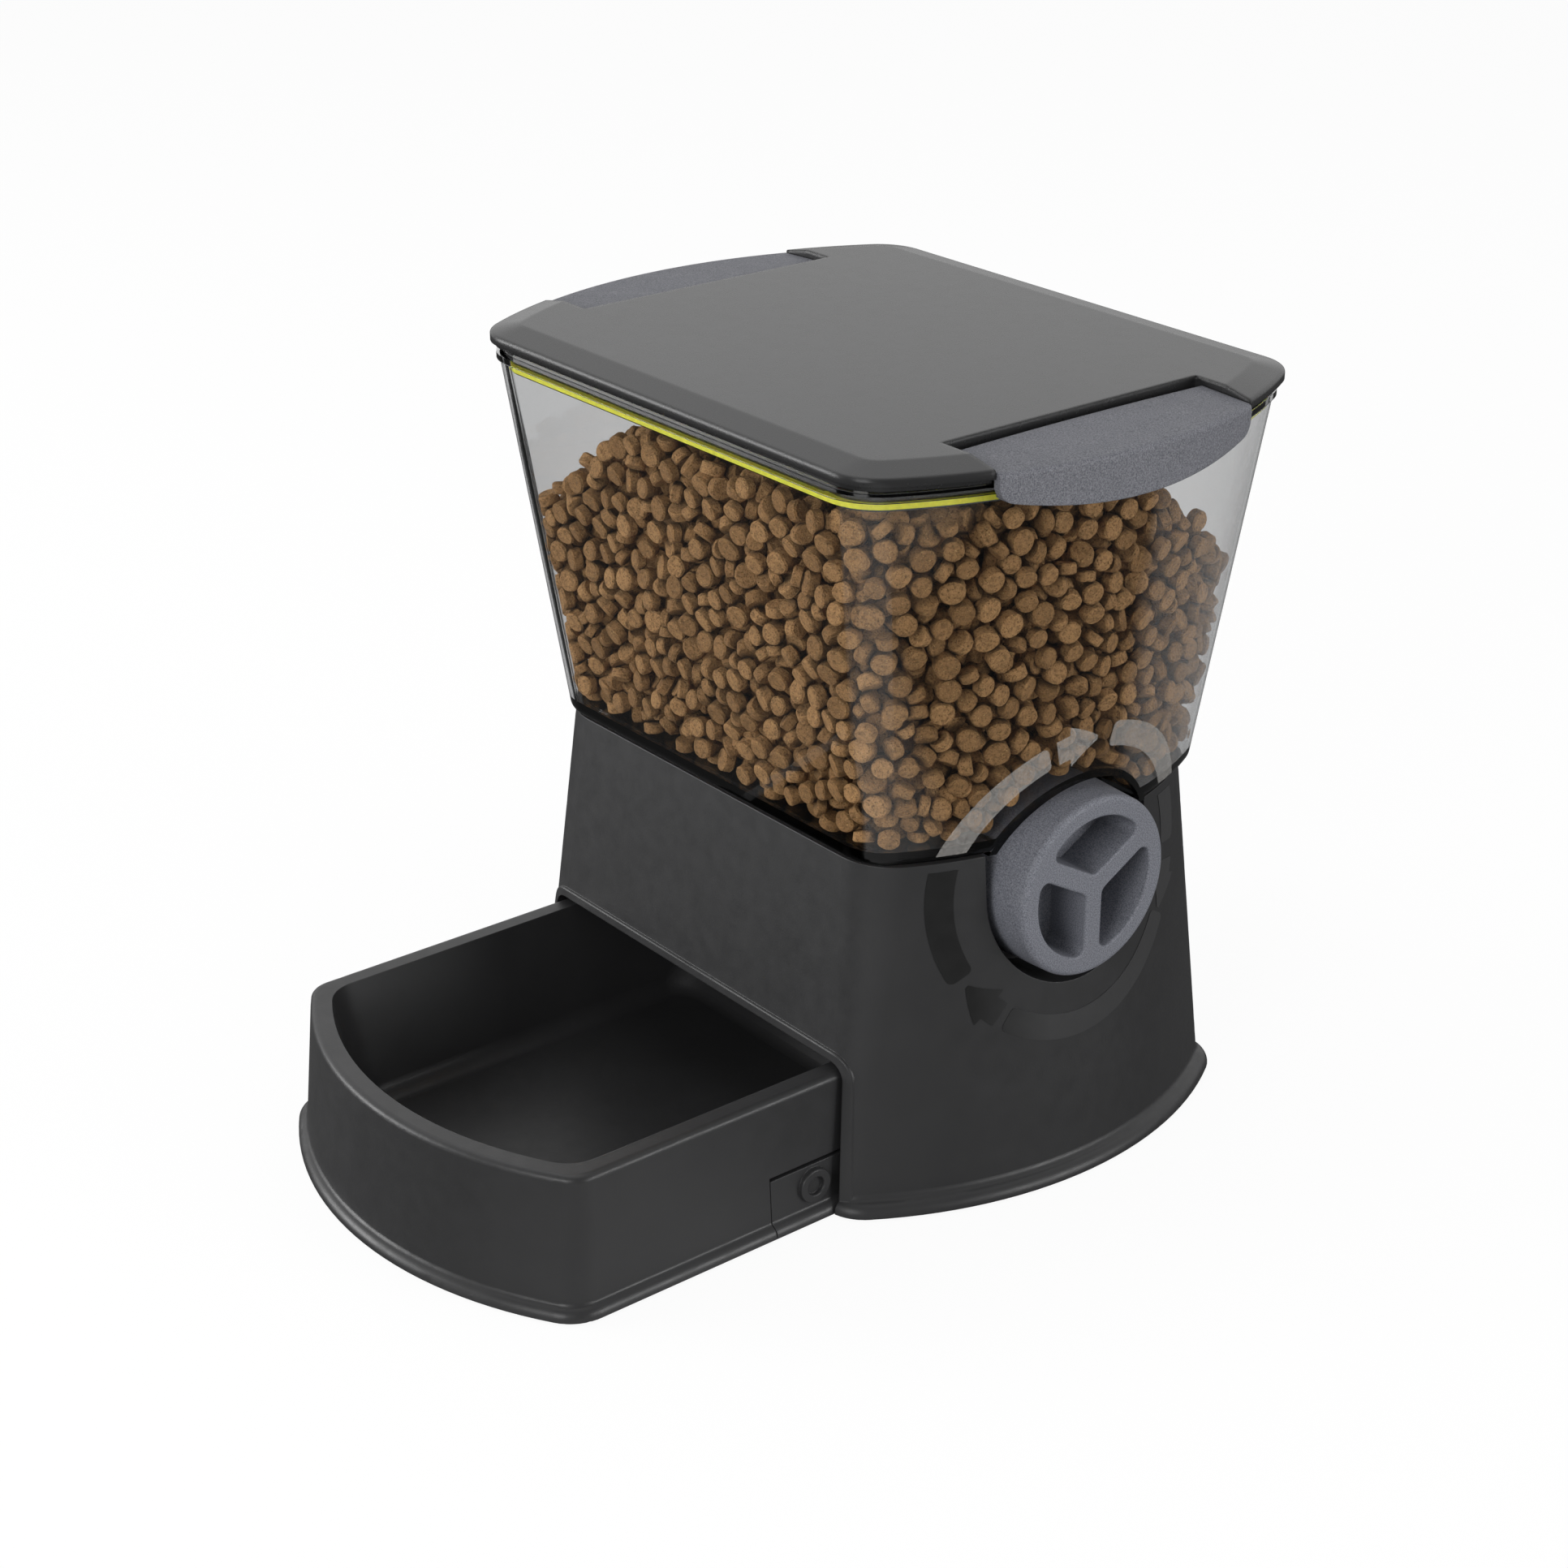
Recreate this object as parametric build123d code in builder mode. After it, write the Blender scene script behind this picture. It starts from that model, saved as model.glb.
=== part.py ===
from build123d import *
import os
from math import sqrt

os.makedirs("parts", exist_ok=True)

# Frame: +X to the knob side, -Y to the bowl, +Z up, origin on the floor under the middle of the box
overall_depth = 318.5
foot_gap = 1.0
overrun = 5.0
fit = 0.3
seat = 0.02
running = 0.05

# Tower: a shell that narrows upwards, open below and in front
tower_top = 126.0
tower_setback = 1.5
tower_wall = 3.0
tower_foot_half_width = 117.0
tower_foot_half_depth = 87.2
tower_foot_side_radius = 146.5
tower_foot_corner = 12.0
tower_top_half_width = 106.4
tower_top_half_depth = 73.4
tower_top_side_radius = 135.7
tower_top_corner = 22.0
tower_bead = 4.5
tower_bead_front = 1.6
tower_bead_height = 5.2
tower_bead_round = 4.3
tower_bead_under_round = 0.8
tower_bead_cove = 2.5
deck_drop = 6.5
deck_thickness = 2.5

# Hopper: an open tub that widens upwards, with an arch over the knob
hopper_height = 135.2
hopper_wall = 2.6
hopper_side_step = 0.4
hopper_front_step = 2.6
hopper_foot_side_radius = 142.0
hopper_foot_corner = 18.0
hopper_top_side_radius = 178.0
hopper_top_corner = 20.0
hopper_foot_round = 4.0
rim_flange_reach = 0.8
rim_flange_height = 2.2
hopper_floor = 1.6
hopper_fall = 4.0
outlet_side_step = 2.0
outlet_front_step = 1.1
outlet_corner = 3.0
spigot_depth = 2.6
spigot_wall = 2.0
spigot_gap = 0.5
arch_gap = 0.3

# Lid cover: a flat plate with a sloped border, straight front and rear edges and bowed sides
lid_height = 6.8
lid_half_width = 128.4
lid_half_depth = 95.0
lid_side_overhang = 4.3
lid_front_overhang = 1.2
lid_side_radius = 172.6
lid_corner = 19.0
lid_border = 11.0
lid_border_drop = 2.3
lid_skin = 2.4
lid_edge = 3.2
lid_edge_round = 1.0
lid_rebate = 1.6
lid_rebate_height = 1.5

# Latch slots in the cover, the latches and their hinge pins
slot_reach = 33.8
slot_half_length = 55.3
slot_wall = 2.4
latch_side_gap = 0.6
latch_proud = 1.0
latch_lift = 0.8
latch_flap = 2.5
latch_hook = 1.0
latch_hook_height = 2.4
latch_drop = 12.0
latch_low_radius = 237.0
latch_corner = 6.0
latch_edge_round = 1.6
latch_crown_radius = 2600.0
hinge_gap = 3.6
hinge_lift = 1.1
hinge_barrel = 2.8
pin_radius = 1.25
cheek_length = 8.0
cheek_width = 3.3
cheek_drop = 2.0

# Lid plug, a shallow tray under the cover, and the seal in its groove
plug_depth = 8.2
plug_inset = 4.2
plug_wall = 2.8
plug_floor = 2.4
plug_flange = 2.0
plug_flange_reach = 3.4
seal_height = 1.8
seal_drop = 6.3
seal_groove = 1.4
lid_screw_side_setback = 24.6
lid_screw_front_setback = 35.0
lid_boss_radius = 4.0

# Bowl: a drawer-like tray with a bowed front, a double wall and a flared foot
bowl_gap = 0.8
bowl_rim = 51.6
bowl_bead = 2.8
bowl_bead_front = 2.9
bowl_bead_height = 4.8
bowl_bead_round = 4.0
bowl_bead_under_round = 0.7
bowl_bead_cove = 1.5
bowl_foot_half_width = 84.4
bowl_foot_radius = 143.0
bowl_foot_corner = 13.5
bowl_rim_half_width = 81.6
bowl_rim_setback = 4.5
bowl_rim_radius = 138.0
bowl_rim_corner = 10.0
bowl_rim_width = 7.4
bowl_rim_round = 2.4
bowl_reach = 22.0
bowl_rear_corner = 8.0
bowl_skirt = 2.4
dish_wall = 2.5
dish_floor = 6.5
dish_floor_inset = 16.0
dish_floor_setback = 10.0
dish_floor_radius = 122.0
dish_floor_corner = 14.0
dish_rear_corner = 14.0
dish_ramp = 52.0
dish_round = 7.0
void_depth = 4.5

# Bowl opening in the tower's front, its raised lip and the guide ribs behind it
opening_foot_room = 0.7
opening_top_room = 1.4
opening_head_room = 2.9
opening_corner = 6.0
lip_width = 3.2
lip_proud = 0.9
lip_round = 0.7
rib = 2.5
rib_tail = 6.0

# Knob, its cup in the tower's side, and the shaft line
axis_drop = 17.0
cup_depth = 20.4
cup_wall = 2.5
knob_depth = 26.2
knob_front_radius = 32.3
knob_back_radius = 33.4
knob_gap = 3.1
knob_round = 2.2
knob_rim = 6.9
knob_pocket_depth = 17.0
knob_pocket_corner = 3.0
knob_pocket_round = 0.8
knob_spoke = 7.4
knob_socket = 10.0
knob_spokes = 3
shaft_radius = 4.0
shaft_tail = 3.5

# Portion wheel, its housing, bushes, click wheel and click spring
wheel_radius = 27.0
wheel_hub_wall = 5.0
wheel_vane = 2.4
wheel_vanes = 6
wheel_gap = 1.0
wheel_end_gap = 1.4
housing_half_length = 48.0
housing_wall = 2.6
housing_flange_reach = 16.0
housing_flange_side = 13.4
housing_flange = 2.5
housing_outlet_half_depth = 14.0
housing_screw_reach = 9.0
housing_screw_side = 6.9
bush_wall = 2.0
bush_flange_reach = 1.6
bush_flange = 1.2
clip_reach = 3.0
clip_width = 1.0
click_radius = 13.0
click_notch = 4.0
click_notch_depth = 1.6
click_width = 5.0
click_gap = 2.5
click_room = 2.0
spring_strip = 0.8
spring_bump = 2.5
spring_length = 27.0
spring_tip = 6.0
post_depth = 12.0
post_length = 9.0

# Drop chute under the housing
chute_wall = 2.3
chute_head_room = 2.0
chute_slope_height = 27.5
chute_mouth = 31.0

# Snap tongues low in the bowl's sides, each with a round push ring
tongue_reach = 25.2
tongue_length = 42.0
tongue_top = 21.5
tongue_gap = 0.3
slit_height = 1.4
tongue_room = 8.0
ring_reach = 7.1
ring_height = 13.9
ring_outer = 6.3
ring_inner = 3.4
ring_proud = 1.1
ring_round = 0.5

# Leg covers, feet and screws
cover_level = 3.0
cover_thickness = 2.2
leg_boss_radius = 4.2
leg_boss_height = 16.0
leg_boss_setback = 11.0
leg_boss_y = 20.0
foot_radius = 6.5
tower_foot_setback = 7.8
tower_foot_y = 45.0
bowl_pad_radius = 8.0
bowl_pad_x = 42.0
bowl_pad_setback = 55.0
screw_radius = 1.5
screw_length = 10.0
screw_head_radius = 3.0
screw_head = 1.8

# Places that follow from the sizes above
lid_y = overall_depth / 2 - lid_half_depth
tower_y = lid_y - tower_setback
tower_front = tower_y - tower_foot_half_depth
deck_top = tower_top - deck_drop
hopper_top = tower_top + hopper_height
hopper_foot_half_width = tower_top_half_width + hopper_side_step
hopper_foot_half_depth = tower_top_half_depth + hopper_front_step
hopper_top_half_width = lid_half_width - lid_side_overhang
hopper_top_half_depth = lid_half_depth - lid_front_overhang
lid_under = hopper_top + plug_flange
lid_top = lid_under + lid_height
slot_inner = lid_half_width - slot_reach
latch_under = lid_under + latch_lift
latch_low = lid_under - latch_drop
hinge_x = slot_inner + hinge_gap + hinge_barrel
hinge_height = lid_under + hinge_lift
cheek_under = lid_under - cheek_drop
plug_under = lid_under - plug_depth
seal_middle = lid_under - seal_drop
lid_screw_x = slot_inner - lid_screw_side_setback
lid_screw_y = lid_half_depth - lid_screw_front_setback
bowl_front = -overall_depth / 2
bowl_rear = tower_y + bowl_reach
dish_floor_half_width = bowl_rim_half_width - dish_floor_inset
opening_foot_half = bowl_foot_half_width + bowl_bead + opening_foot_room
opening_top_half = bowl_rim_half_width + opening_top_room
opening_top = bowl_rim + opening_head_room
axis_height = tower_top - axis_drop
cup_back = tower_top_half_width - cup_depth
knob_back = cup_back + cup_wall + bush_flange + fit
knob_front = knob_back + knob_depth
knob_pocket_radius = knob_front_radius - knob_rim
notch_radius = knob_back_radius + knob_gap
wheel_hub = shaft_radius + wheel_hub_wall
housing_inner = wheel_radius + wheel_gap
housing_outer = housing_inner + housing_wall
housing_flange_length = housing_half_length + housing_flange_reach
housing_flange_depth = housing_outer + housing_flange_side
housing_screw_x = housing_half_length + housing_screw_reach
housing_screw_y = housing_outer + housing_screw_side
outlet_half_width = housing_half_length - outlet_side_step
outlet_half_depth = housing_outer - outlet_front_step
flange_top = deck_top + housing_flange
bush_radius = shaft_radius + bush_wall
bush_flange_radius = bush_radius + bush_flange_reach
clip_radius = shaft_radius + clip_reach
click_x = cup_back - click_gap - click_width / 2
strip_top = axis_height - click_radius - fit - spring_bump
shaft_left = -housing_half_length - bush_flange - fit - clip_width - shaft_tail
shaft_right = knob_back + knob_socket - fit
chute_under = opening_top + chute_head_room
chute_knee = chute_under + chute_slope_height
leg_boss_x = opening_foot_half + rib + leg_boss_setback
tower_foot_x = opening_foot_half + rib + tower_foot_setback


def blend(low, high, share):
    """The value that lies the given share of the way from low to high."""
    return low + share * (high - low)


def bowed_outline(level, centre_y, half_width, half_depth, side_radius, corner):
    """A rectangle with bowed left and right sides and round corners, drawn at a height."""
    corner_x = half_width - side_radius + sqrt(side_radius**2 - half_depth**2)
    with BuildSketch(Plane(origin=(0, centre_y, level))) as outline:
        with BuildLine():
            Line((-corner_x, -half_depth), (corner_x, -half_depth))
            ThreePointArc((corner_x, -half_depth), (half_width, 0), (corner_x, half_depth))
            Line((corner_x, half_depth), (-corner_x, half_depth))
            ThreePointArc((-corner_x, half_depth), (-half_width, 0), (-corner_x, -half_depth))
        make_face()
        fillet(outline.vertices(), corner)
    return outline.sketch


def tower_section(level, inset):
    """The tower's outline at a height, drawn in by an inset."""
    share = (level - foot_gap) / (tower_top - foot_gap)
    return bowed_outline(
        level,
        tower_y,
        blend(tower_foot_half_width, tower_top_half_width, share) - inset,
        blend(tower_foot_half_depth, tower_top_half_depth, share) - inset,
        blend(tower_foot_side_radius, tower_top_side_radius, share) - inset,
        blend(tower_foot_corner, tower_top_corner, share) - inset,
    )


def hopper_section(level, inset):
    """The hopper's outline at a height, drawn in by an inset."""
    share = (level - tower_top) / (hopper_top - tower_top)
    return bowed_outline(
        level,
        lid_y,
        blend(hopper_foot_half_width, hopper_top_half_width, share) - inset,
        blend(hopper_foot_half_depth, hopper_top_half_depth, share) - inset,
        blend(hopper_foot_side_radius, hopper_top_side_radius, share) - inset,
        blend(hopper_foot_corner, hopper_top_corner, share) - inset,
    )


def lid_section(level, inset):
    """The lid's outline at a height, drawn in by an inset."""
    return bowed_outline(
        level,
        lid_y,
        lid_half_width - inset,
        lid_half_depth - inset,
        lid_side_radius - inset,
        lid_corner - inset,
    )


def plug_section(level, inset):
    """The lid plug's outline, which follows the hopper's mouth at the plug's underside."""
    share = (plug_under - tower_top) / (hopper_top - tower_top)
    step = plug_inset + inset
    return bowed_outline(
        level,
        lid_y,
        blend(hopper_foot_half_width, hopper_top_half_width, share) - step,
        blend(hopper_foot_half_depth, hopper_top_half_depth, share) - step,
        blend(hopper_foot_side_radius, hopper_top_side_radius, share) - step,
        blend(hopper_foot_corner, hopper_top_corner, share) - step,
    )


def tray_outline(level, half_width, front, front_radius, corner, rear, rear_corner):
    """A rectangle with a bowed front and round corners, drawn at a height."""
    corner_y = front + front_radius - sqrt(front_radius**2 - half_width**2)
    with BuildSketch(Plane.XY.offset(level)) as outline:
        with BuildLine():
            Polyline(
                (-half_width, corner_y),
                (-half_width, rear),
                (half_width, rear),
                (half_width, corner_y),
            )
            ThreePointArc((half_width, corner_y), (0, front), (-half_width, corner_y))
        make_face()
        fillet(outline.vertices().group_by(Axis.Y)[0], corner)
        fillet(outline.vertices().group_by(Axis.Y)[-1], rear_corner)
    return outline.sketch


def bowl_section(level, inset):
    """The bowl's outer outline at a height, drawn in by an inset."""
    share = (level - bowl_gap) / (bowl_rim - bowl_gap)
    front = bowl_front + bowl_bead_front
    return tray_outline(
        level,
        blend(bowl_foot_half_width, bowl_rim_half_width, share) - inset,
        blend(front, front + bowl_rim_setback, share) + inset,
        blend(bowl_foot_radius, bowl_rim_radius, share) - inset,
        blend(bowl_foot_corner, bowl_rim_corner, share) - inset,
        bowl_rear - inset,
        bowl_rear_corner - inset,
    )


def dish_section(level, grow):
    """The food dish's inner outline at a height, drawn out by a wall."""
    share = (level - dish_floor) / (bowl_rim - dish_floor)
    rim_front = bowl_front + bowl_bead_front + bowl_rim_setback + bowl_rim_width
    rim_rear = bowl_rear - bowl_rim_width
    return tray_outline(
        level,
        blend(dish_floor_half_width, bowl_rim_half_width - bowl_rim_width, share) + grow,
        blend(rim_front + dish_floor_setback, rim_front, share) - grow,
        blend(dish_floor_radius, bowl_rim_radius - bowl_rim_width, share) + grow,
        dish_floor_corner + grow,
        blend(rim_rear - dish_ramp, rim_rear, share) + grow,
        dish_rear_corner + grow,
    )


def facing_right(x, y, z):
    """A plane at a point that faces +X, with +Y to its right and +Z up."""
    return Plane(origin=(x, y, z), x_dir=(0, 1, 0), z_dir=(1, 0, 0))


def facing_front(x, y, z):
    """A plane at a point that faces -Y, with +X to its right and +Z up."""
    return Plane(origin=(x, y, z), x_dir=(1, 0, 0), z_dir=(0, -1, 0))


def shaft_plane(along_x):
    """A plane square to the shaft line."""
    return facing_right(along_x, tower_y, axis_height)


def round_profile(along_x, radius):
    """A disc about the shaft line."""
    with BuildSketch(shaft_plane(along_x)) as profile:
        Circle(radius)
    return profile.sketch


def trough_profile(along_x, radius, top):
    """A U around the shaft line: half a disc below it, straight sides above it, up to a height."""
    with BuildSketch(shaft_plane(along_x)) as profile:
        Circle(radius)
        Rectangle(2 * radius, radius, align=(Align.CENTER, Align.MIN), mode=Mode.SUBTRACT)
        Rectangle(2 * radius, top - axis_height, align=(Align.CENTER, Align.MIN))
    return profile.sketch


def bush(wall_face, wall, side):
    """A flanged shaft bush whose flange lies on a wall's face, on the given side of it."""
    with BuildPart() as piece:
        with BuildSketch(shaft_plane(wall_face)):
            Circle(bush_flange_radius)
        extrude(amount=side * bush_flange)
        with BuildSketch(shaft_plane(wall_face)):
            Circle(bush_radius)
        extrude(amount=-side * wall)
        with BuildSketch(shaft_plane(wall_face)):
            Circle(shaft_radius + running)
        extrude(amount=wall + bush_flange, both=True, mode=Mode.SUBTRACT)
    return piece.part


def screw_group(places, seat_level, way):
    """Pan-head screws whose heads sit on a level and whose shanks point up or down from it."""
    with BuildPart() as group:
        with BuildSketch(Plane.XY.offset(seat_level)):
            with Locations(*places):
                Circle(screw_head_radius)
        extrude(amount=-way * screw_head)
        with BuildSketch(Plane.XY.offset(seat_level)):
            with Locations(*places):
                Circle(screw_radius)
        extrude(amount=way * screw_length)
    return group.part


def corners(half_x, half_y, middle_y):
    """The four corners of a rectangle about the middle plane."""
    return [(sx * half_x, middle_y + sy * half_y) for sx in (-1, 1) for sy in (-1, 1)]


housing_screw_places = corners(housing_screw_x, housing_screw_y, tower_y)
leg_screw_places = corners(leg_boss_x, leg_boss_y, tower_y)
lid_screw_places = corners(lid_screw_x, lid_screw_y, lid_y)
tower_foot_places = corners(tower_foot_x, tower_foot_y, tower_y)

# Tower shell
with BuildPart() as opening_lip:
    with BuildSketch(facing_front(0, tower_y, 0)) as lip_outline:
        with BuildLine():
            Polyline(
                (-opening_foot_half - lip_width, foot_gap - overrun),
                (-opening_foot_half - lip_width, foot_gap),
                (-opening_top_half - lip_width, opening_top + lip_width),
                (opening_top_half + lip_width, opening_top + lip_width),
                (opening_foot_half + lip_width, foot_gap),
                (opening_foot_half + lip_width, foot_gap - overrun),
                close=True,
            )
        make_face()
        fillet(lip_outline.vertices().group_by(Axis.Y)[-1], opening_corner + lip_width)
    extrude(amount=2 * tower_foot_half_depth)
    loft(
        [tower_section(foot_gap, -lip_proud), tower_section(tower_top, -lip_proud)],
        ruled=True,
        mode=Mode.INTERSECT,
    )
    fillet(opening_lip.faces().sort_by(Axis.Z)[-1].edges().sort_by(Axis.Y)[0], lip_round)

with BuildPart() as guide_ribs:
    with BuildSketch(facing_front(0, bowl_rear + rib_tail, 0)):
        for side in (-1, 1):
            with BuildLine():
                Polyline(
                    (side * opening_foot_half, foot_gap),
                    (side * (opening_foot_half + rib), foot_gap),
                    (side * (opening_top_half + rib), opening_top),
                    (side * opening_top_half, opening_top),
                    close=True,
                )
            make_face()
    extrude(amount=2 * tower_foot_half_depth)
    loft([tower_section(foot_gap, 0), tower_section(tower_top, 0)], ruled=True, mode=Mode.INTERSECT)

with BuildPart() as knob_cup:
    extrude(trough_profile(cup_back, notch_radius + cup_wall, tower_top), amount=tower_top_half_width)
    loft([tower_section(foot_gap, 0), tower_section(tower_top, 0)], ruled=True, mode=Mode.INTERSECT)

with BuildPart() as tower_shell:
    extrude(
        bowed_outline(
            foot_gap,
            tower_y,
            tower_foot_half_width + tower_bead,
            tower_foot_half_depth + tower_bead_front,
            tower_foot_side_radius + tower_bead,
            tower_foot_corner + tower_bead,
        ),
        amount=tower_bead_height,
    )
    fillet(tower_shell.faces().sort_by(Axis.Z)[-1].edges(), tower_bead_round)
    fillet(tower_shell.faces().sort_by(Axis.Z)[0].edges(), tower_bead_under_round)
    loft([tower_section(foot_gap, 0), tower_section(tower_top, 0)], ruled=True)
    bead_top = foot_gap + tower_bead_height
    bead_middle = bead_top - tower_bead_height / 2
    cove_edges = tower_shell.edges().filter_by_position(Axis.Z, bead_middle, bead_top + seat)
    fillet(cove_edges.filter_by(GeomType.BSPLINE), tower_bead_cove)
    add(opening_lip.part)
    loft(
        [tower_section(foot_gap - overrun, tower_wall), tower_section(tower_top + overrun, tower_wall)],
        ruled=True,
        mode=Mode.SUBTRACT,
    )
    extrude(tower_section(deck_top, tower_wall / 2), amount=-deck_thickness)
    add(guide_ribs.part)
    add(knob_cup.part)
    with BuildSketch(Plane.XY.offset(deck_top - deck_thickness)):
        with Locations(*housing_screw_places):
            Circle(leg_boss_radius)
    extrude(amount=-screw_length)
    with BuildSketch(Plane.XY.offset(cover_level + cover_thickness)):
        for x, y in leg_screw_places:
            side = 1 if x > 0 else -1
            with Locations((x, y)):
                Circle(leg_boss_radius)
            with Locations((x - side * (leg_boss_x - opening_foot_half - rib / 2) / 2, y)):
                Rectangle(leg_boss_x - opening_foot_half - rib / 2, rib)
    extrude(amount=leg_boss_height)
    with BuildSketch(Plane.XY.offset(strip_top - spring_strip)):
        with Locations((cup_back, tower_y - spring_length)):
            Rectangle(click_gap + click_width, post_length, align=(Align.MAX, Align.MIN))
    extrude(amount=-post_depth)
    # Openings: the bowl's gate, the knob's notch, the housing, the click wheel, shaft and screws
    with BuildSketch(facing_front(0, tower_y - tower_top_half_depth, 0)) as gate:
        with BuildLine():
            Polyline(
                (-opening_foot_half, foot_gap - overrun),
                (-opening_foot_half, foot_gap),
                (-opening_top_half, opening_top),
                (opening_top_half, opening_top),
                (opening_foot_half, foot_gap),
                (opening_foot_half, foot_gap - overrun),
                close=True,
            )
        make_face()
        fillet(gate.vertices().group_by(Axis.Y)[-1], opening_corner)
    extrude(amount=2 * tower_foot_half_depth - tower_top_half_depth, mode=Mode.SUBTRACT)
    extrude(
        trough_profile(cup_back + cup_wall, notch_radius, tower_top + overrun),
        amount=tower_top_half_width,
        mode=Mode.SUBTRACT,
    )
    with BuildSketch(Plane.XY.offset(deck_top + overrun)):
        with Locations((0, tower_y)):
            Rectangle(2 * (housing_half_length + fit), 2 * (housing_outer + fit))
        with Locations((cup_back, tower_y)):
            Rectangle(
                click_gap + click_width + click_room,
                2 * (click_radius + click_room),
                align=(Align.MAX, Align.CENTER),
            )
        with Locations(*housing_screw_places):
            Circle(screw_radius + seat)
    extrude(amount=-(overrun + deck_thickness + overrun), mode=Mode.SUBTRACT)
    with BuildSketch(Plane.XY.offset(deck_top + overrun)):
        with Locations(*housing_screw_places):
            Circle(screw_radius + seat)
    extrude(amount=-(overrun + screw_length), mode=Mode.SUBTRACT)
    with BuildSketch(shaft_plane(cup_back - overrun)):
        Circle(bush_radius + seat)
    extrude(amount=overrun + cup_wall + overrun, mode=Mode.SUBTRACT)
    with BuildSketch(Plane.XY.offset(cover_level)):
        with Locations(*leg_screw_places):
            Circle(screw_radius + seat)
    extrude(amount=screw_length + overrun, mode=Mode.SUBTRACT)
    with BuildSketch(Plane.XY.offset(strip_top)):
        with Locations((click_x, tower_y - spring_length + post_length / 2)):
            Circle(screw_radius + seat)
    extrude(amount=-(screw_length + overrun), mode=Mode.SUBTRACT)
tower_shell.part.label = "tower_shell"
export_step(tower_shell.part, "parts/tower_shell.step")

# Leg covers with feet and screws
with BuildPart() as leg_cover_right:
    extrude(tower_section(cover_level, tower_wall + fit), amount=cover_thickness)
    split(bisect_by=Plane.YZ.offset(opening_foot_half + rib + fit), keep=Keep.TOP)
    with BuildSketch(Plane.XY.offset(cover_level)):
        with Locations(*leg_screw_places):
            Circle(screw_radius + seat)
    extrude(amount=cover_thickness, mode=Mode.SUBTRACT)
leg_cover_right.part.label = "leg_cover_right"
export_step(leg_cover_right.part, "parts/leg_cover_right.step")

with BuildPart() as leg_cover_left:
    mirror(leg_cover_right.part, about=Plane.YZ)
leg_cover_left.part.label = "leg_cover_left"
export_step(leg_cover_left.part, "parts/leg_cover_left.step")

with BuildPart() as tower_feet:
    with BuildSketch():
        with Locations(*tower_foot_places):
            Circle(foot_radius)
    extrude(amount=cover_level)
tower_feet.part.label = "tower_feet"
export_step(tower_feet.part, "parts/tower_feet.step")

with BuildPart() as leg_screws:
    add(screw_group(leg_screw_places, cover_level, 1))
leg_screws.part.label = "leg_screws"
export_step(leg_screws.part, "parts/leg_screws.step")

# Portion wheel housing with its screws
with BuildPart() as wheel_housing:
    extrude(trough_profile(-housing_half_length, housing_outer, flange_top), amount=2 * housing_half_length)
    with BuildSketch(Plane.XY.offset(deck_top)):
        with Locations((0, tower_y)):
            Rectangle(2 * housing_flange_length, 2 * housing_flange_depth)
    extrude(amount=housing_flange)
    extrude(
        trough_profile(-housing_half_length + housing_wall, housing_inner, flange_top + overrun),
        amount=2 * (housing_half_length - housing_wall),
        mode=Mode.SUBTRACT,
    )
    with BuildSketch(Plane.XY.offset(axis_height - shaft_radius - overrun)):
        with Locations((0, tower_y)):
            Rectangle(2 * (housing_half_length - housing_wall), 2 * housing_outlet_half_depth)
    extrude(amount=-housing_outer, mode=Mode.SUBTRACT)
    with BuildSketch(shaft_plane(-housing_half_length - overrun)):
        Circle(bush_radius + seat)
    extrude(amount=2 * (housing_half_length + overrun), mode=Mode.SUBTRACT)
    with BuildSketch(Plane.XY.offset(deck_top)):
        with Locations(*housing_screw_places):
            Circle(screw_radius + seat)
    extrude(amount=housing_flange, mode=Mode.SUBTRACT)
wheel_housing.part.label = "wheel_housing"
export_step(wheel_housing.part, "parts/wheel_housing.step")

with BuildPart() as housing_screws:
    add(screw_group(housing_screw_places, flange_top, -1))
housing_screws.part.label = "housing_screws"
export_step(housing_screws.part, "parts/housing_screws.step")

# Drop chute: a sleeve round the housing that leans forwards to the bowl
chute_half_depth = housing_outer + fit
chute_half_length = housing_half_length + fit


def chute_profile(grow, slack):
    """The chute's side outline, drawn out by a wall and run past its ends by a slack."""
    half = chute_half_depth + grow
    mouth = chute_mouth - chute_half_depth + grow
    run = (half - mouth) / (chute_knee - chute_under)
    with BuildSketch(facing_right(-chute_half_length - grow, tower_y, 0)) as side_view:
        with BuildLine():
            Polyline(
                (-half, axis_height + slack),
                (-half, chute_under - slack),
                (mouth - run * slack, chute_under - slack),
                (half, chute_knee),
                (half, axis_height + slack),
                close=True,
            )
        make_face()
    return side_view.sketch


with BuildPart() as chute:
    extrude(chute_profile(chute_wall, 0), amount=2 * (chute_half_length + chute_wall))
    extrude(chute_profile(0, overrun), amount=2 * chute_half_length, mode=Mode.SUBTRACT)
    with BuildSketch(shaft_plane(-chute_half_length - chute_wall - overrun)):
        Circle(bush_flange_radius + fit)
        Rectangle(2 * (bush_flange_radius + fit), overrun, align=(Align.CENTER, Align.MIN))
    extrude(amount=2 * (chute_half_length + chute_wall + overrun), mode=Mode.SUBTRACT)
chute.part.label = "chute"
export_step(chute.part, "parts/chute.step")

# Shaft bushes
with BuildPart() as bush_left:
    add(bush(-housing_half_length, housing_wall, -1))
bush_left.part.label = "bush_left"
export_step(bush_left.part, "parts/bush_left.step")

with BuildPart() as bush_middle:
    add(bush(housing_half_length, housing_wall, 1))
bush_middle.part.label = "bush_middle"
export_step(bush_middle.part, "parts/bush_middle.step")

with BuildPart() as bush_right:
    add(bush(cup_back + cup_wall, cup_wall, 1))
bush_right.part.label = "bush_right"
export_step(bush_right.part, "parts/bush_right.step")

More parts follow.
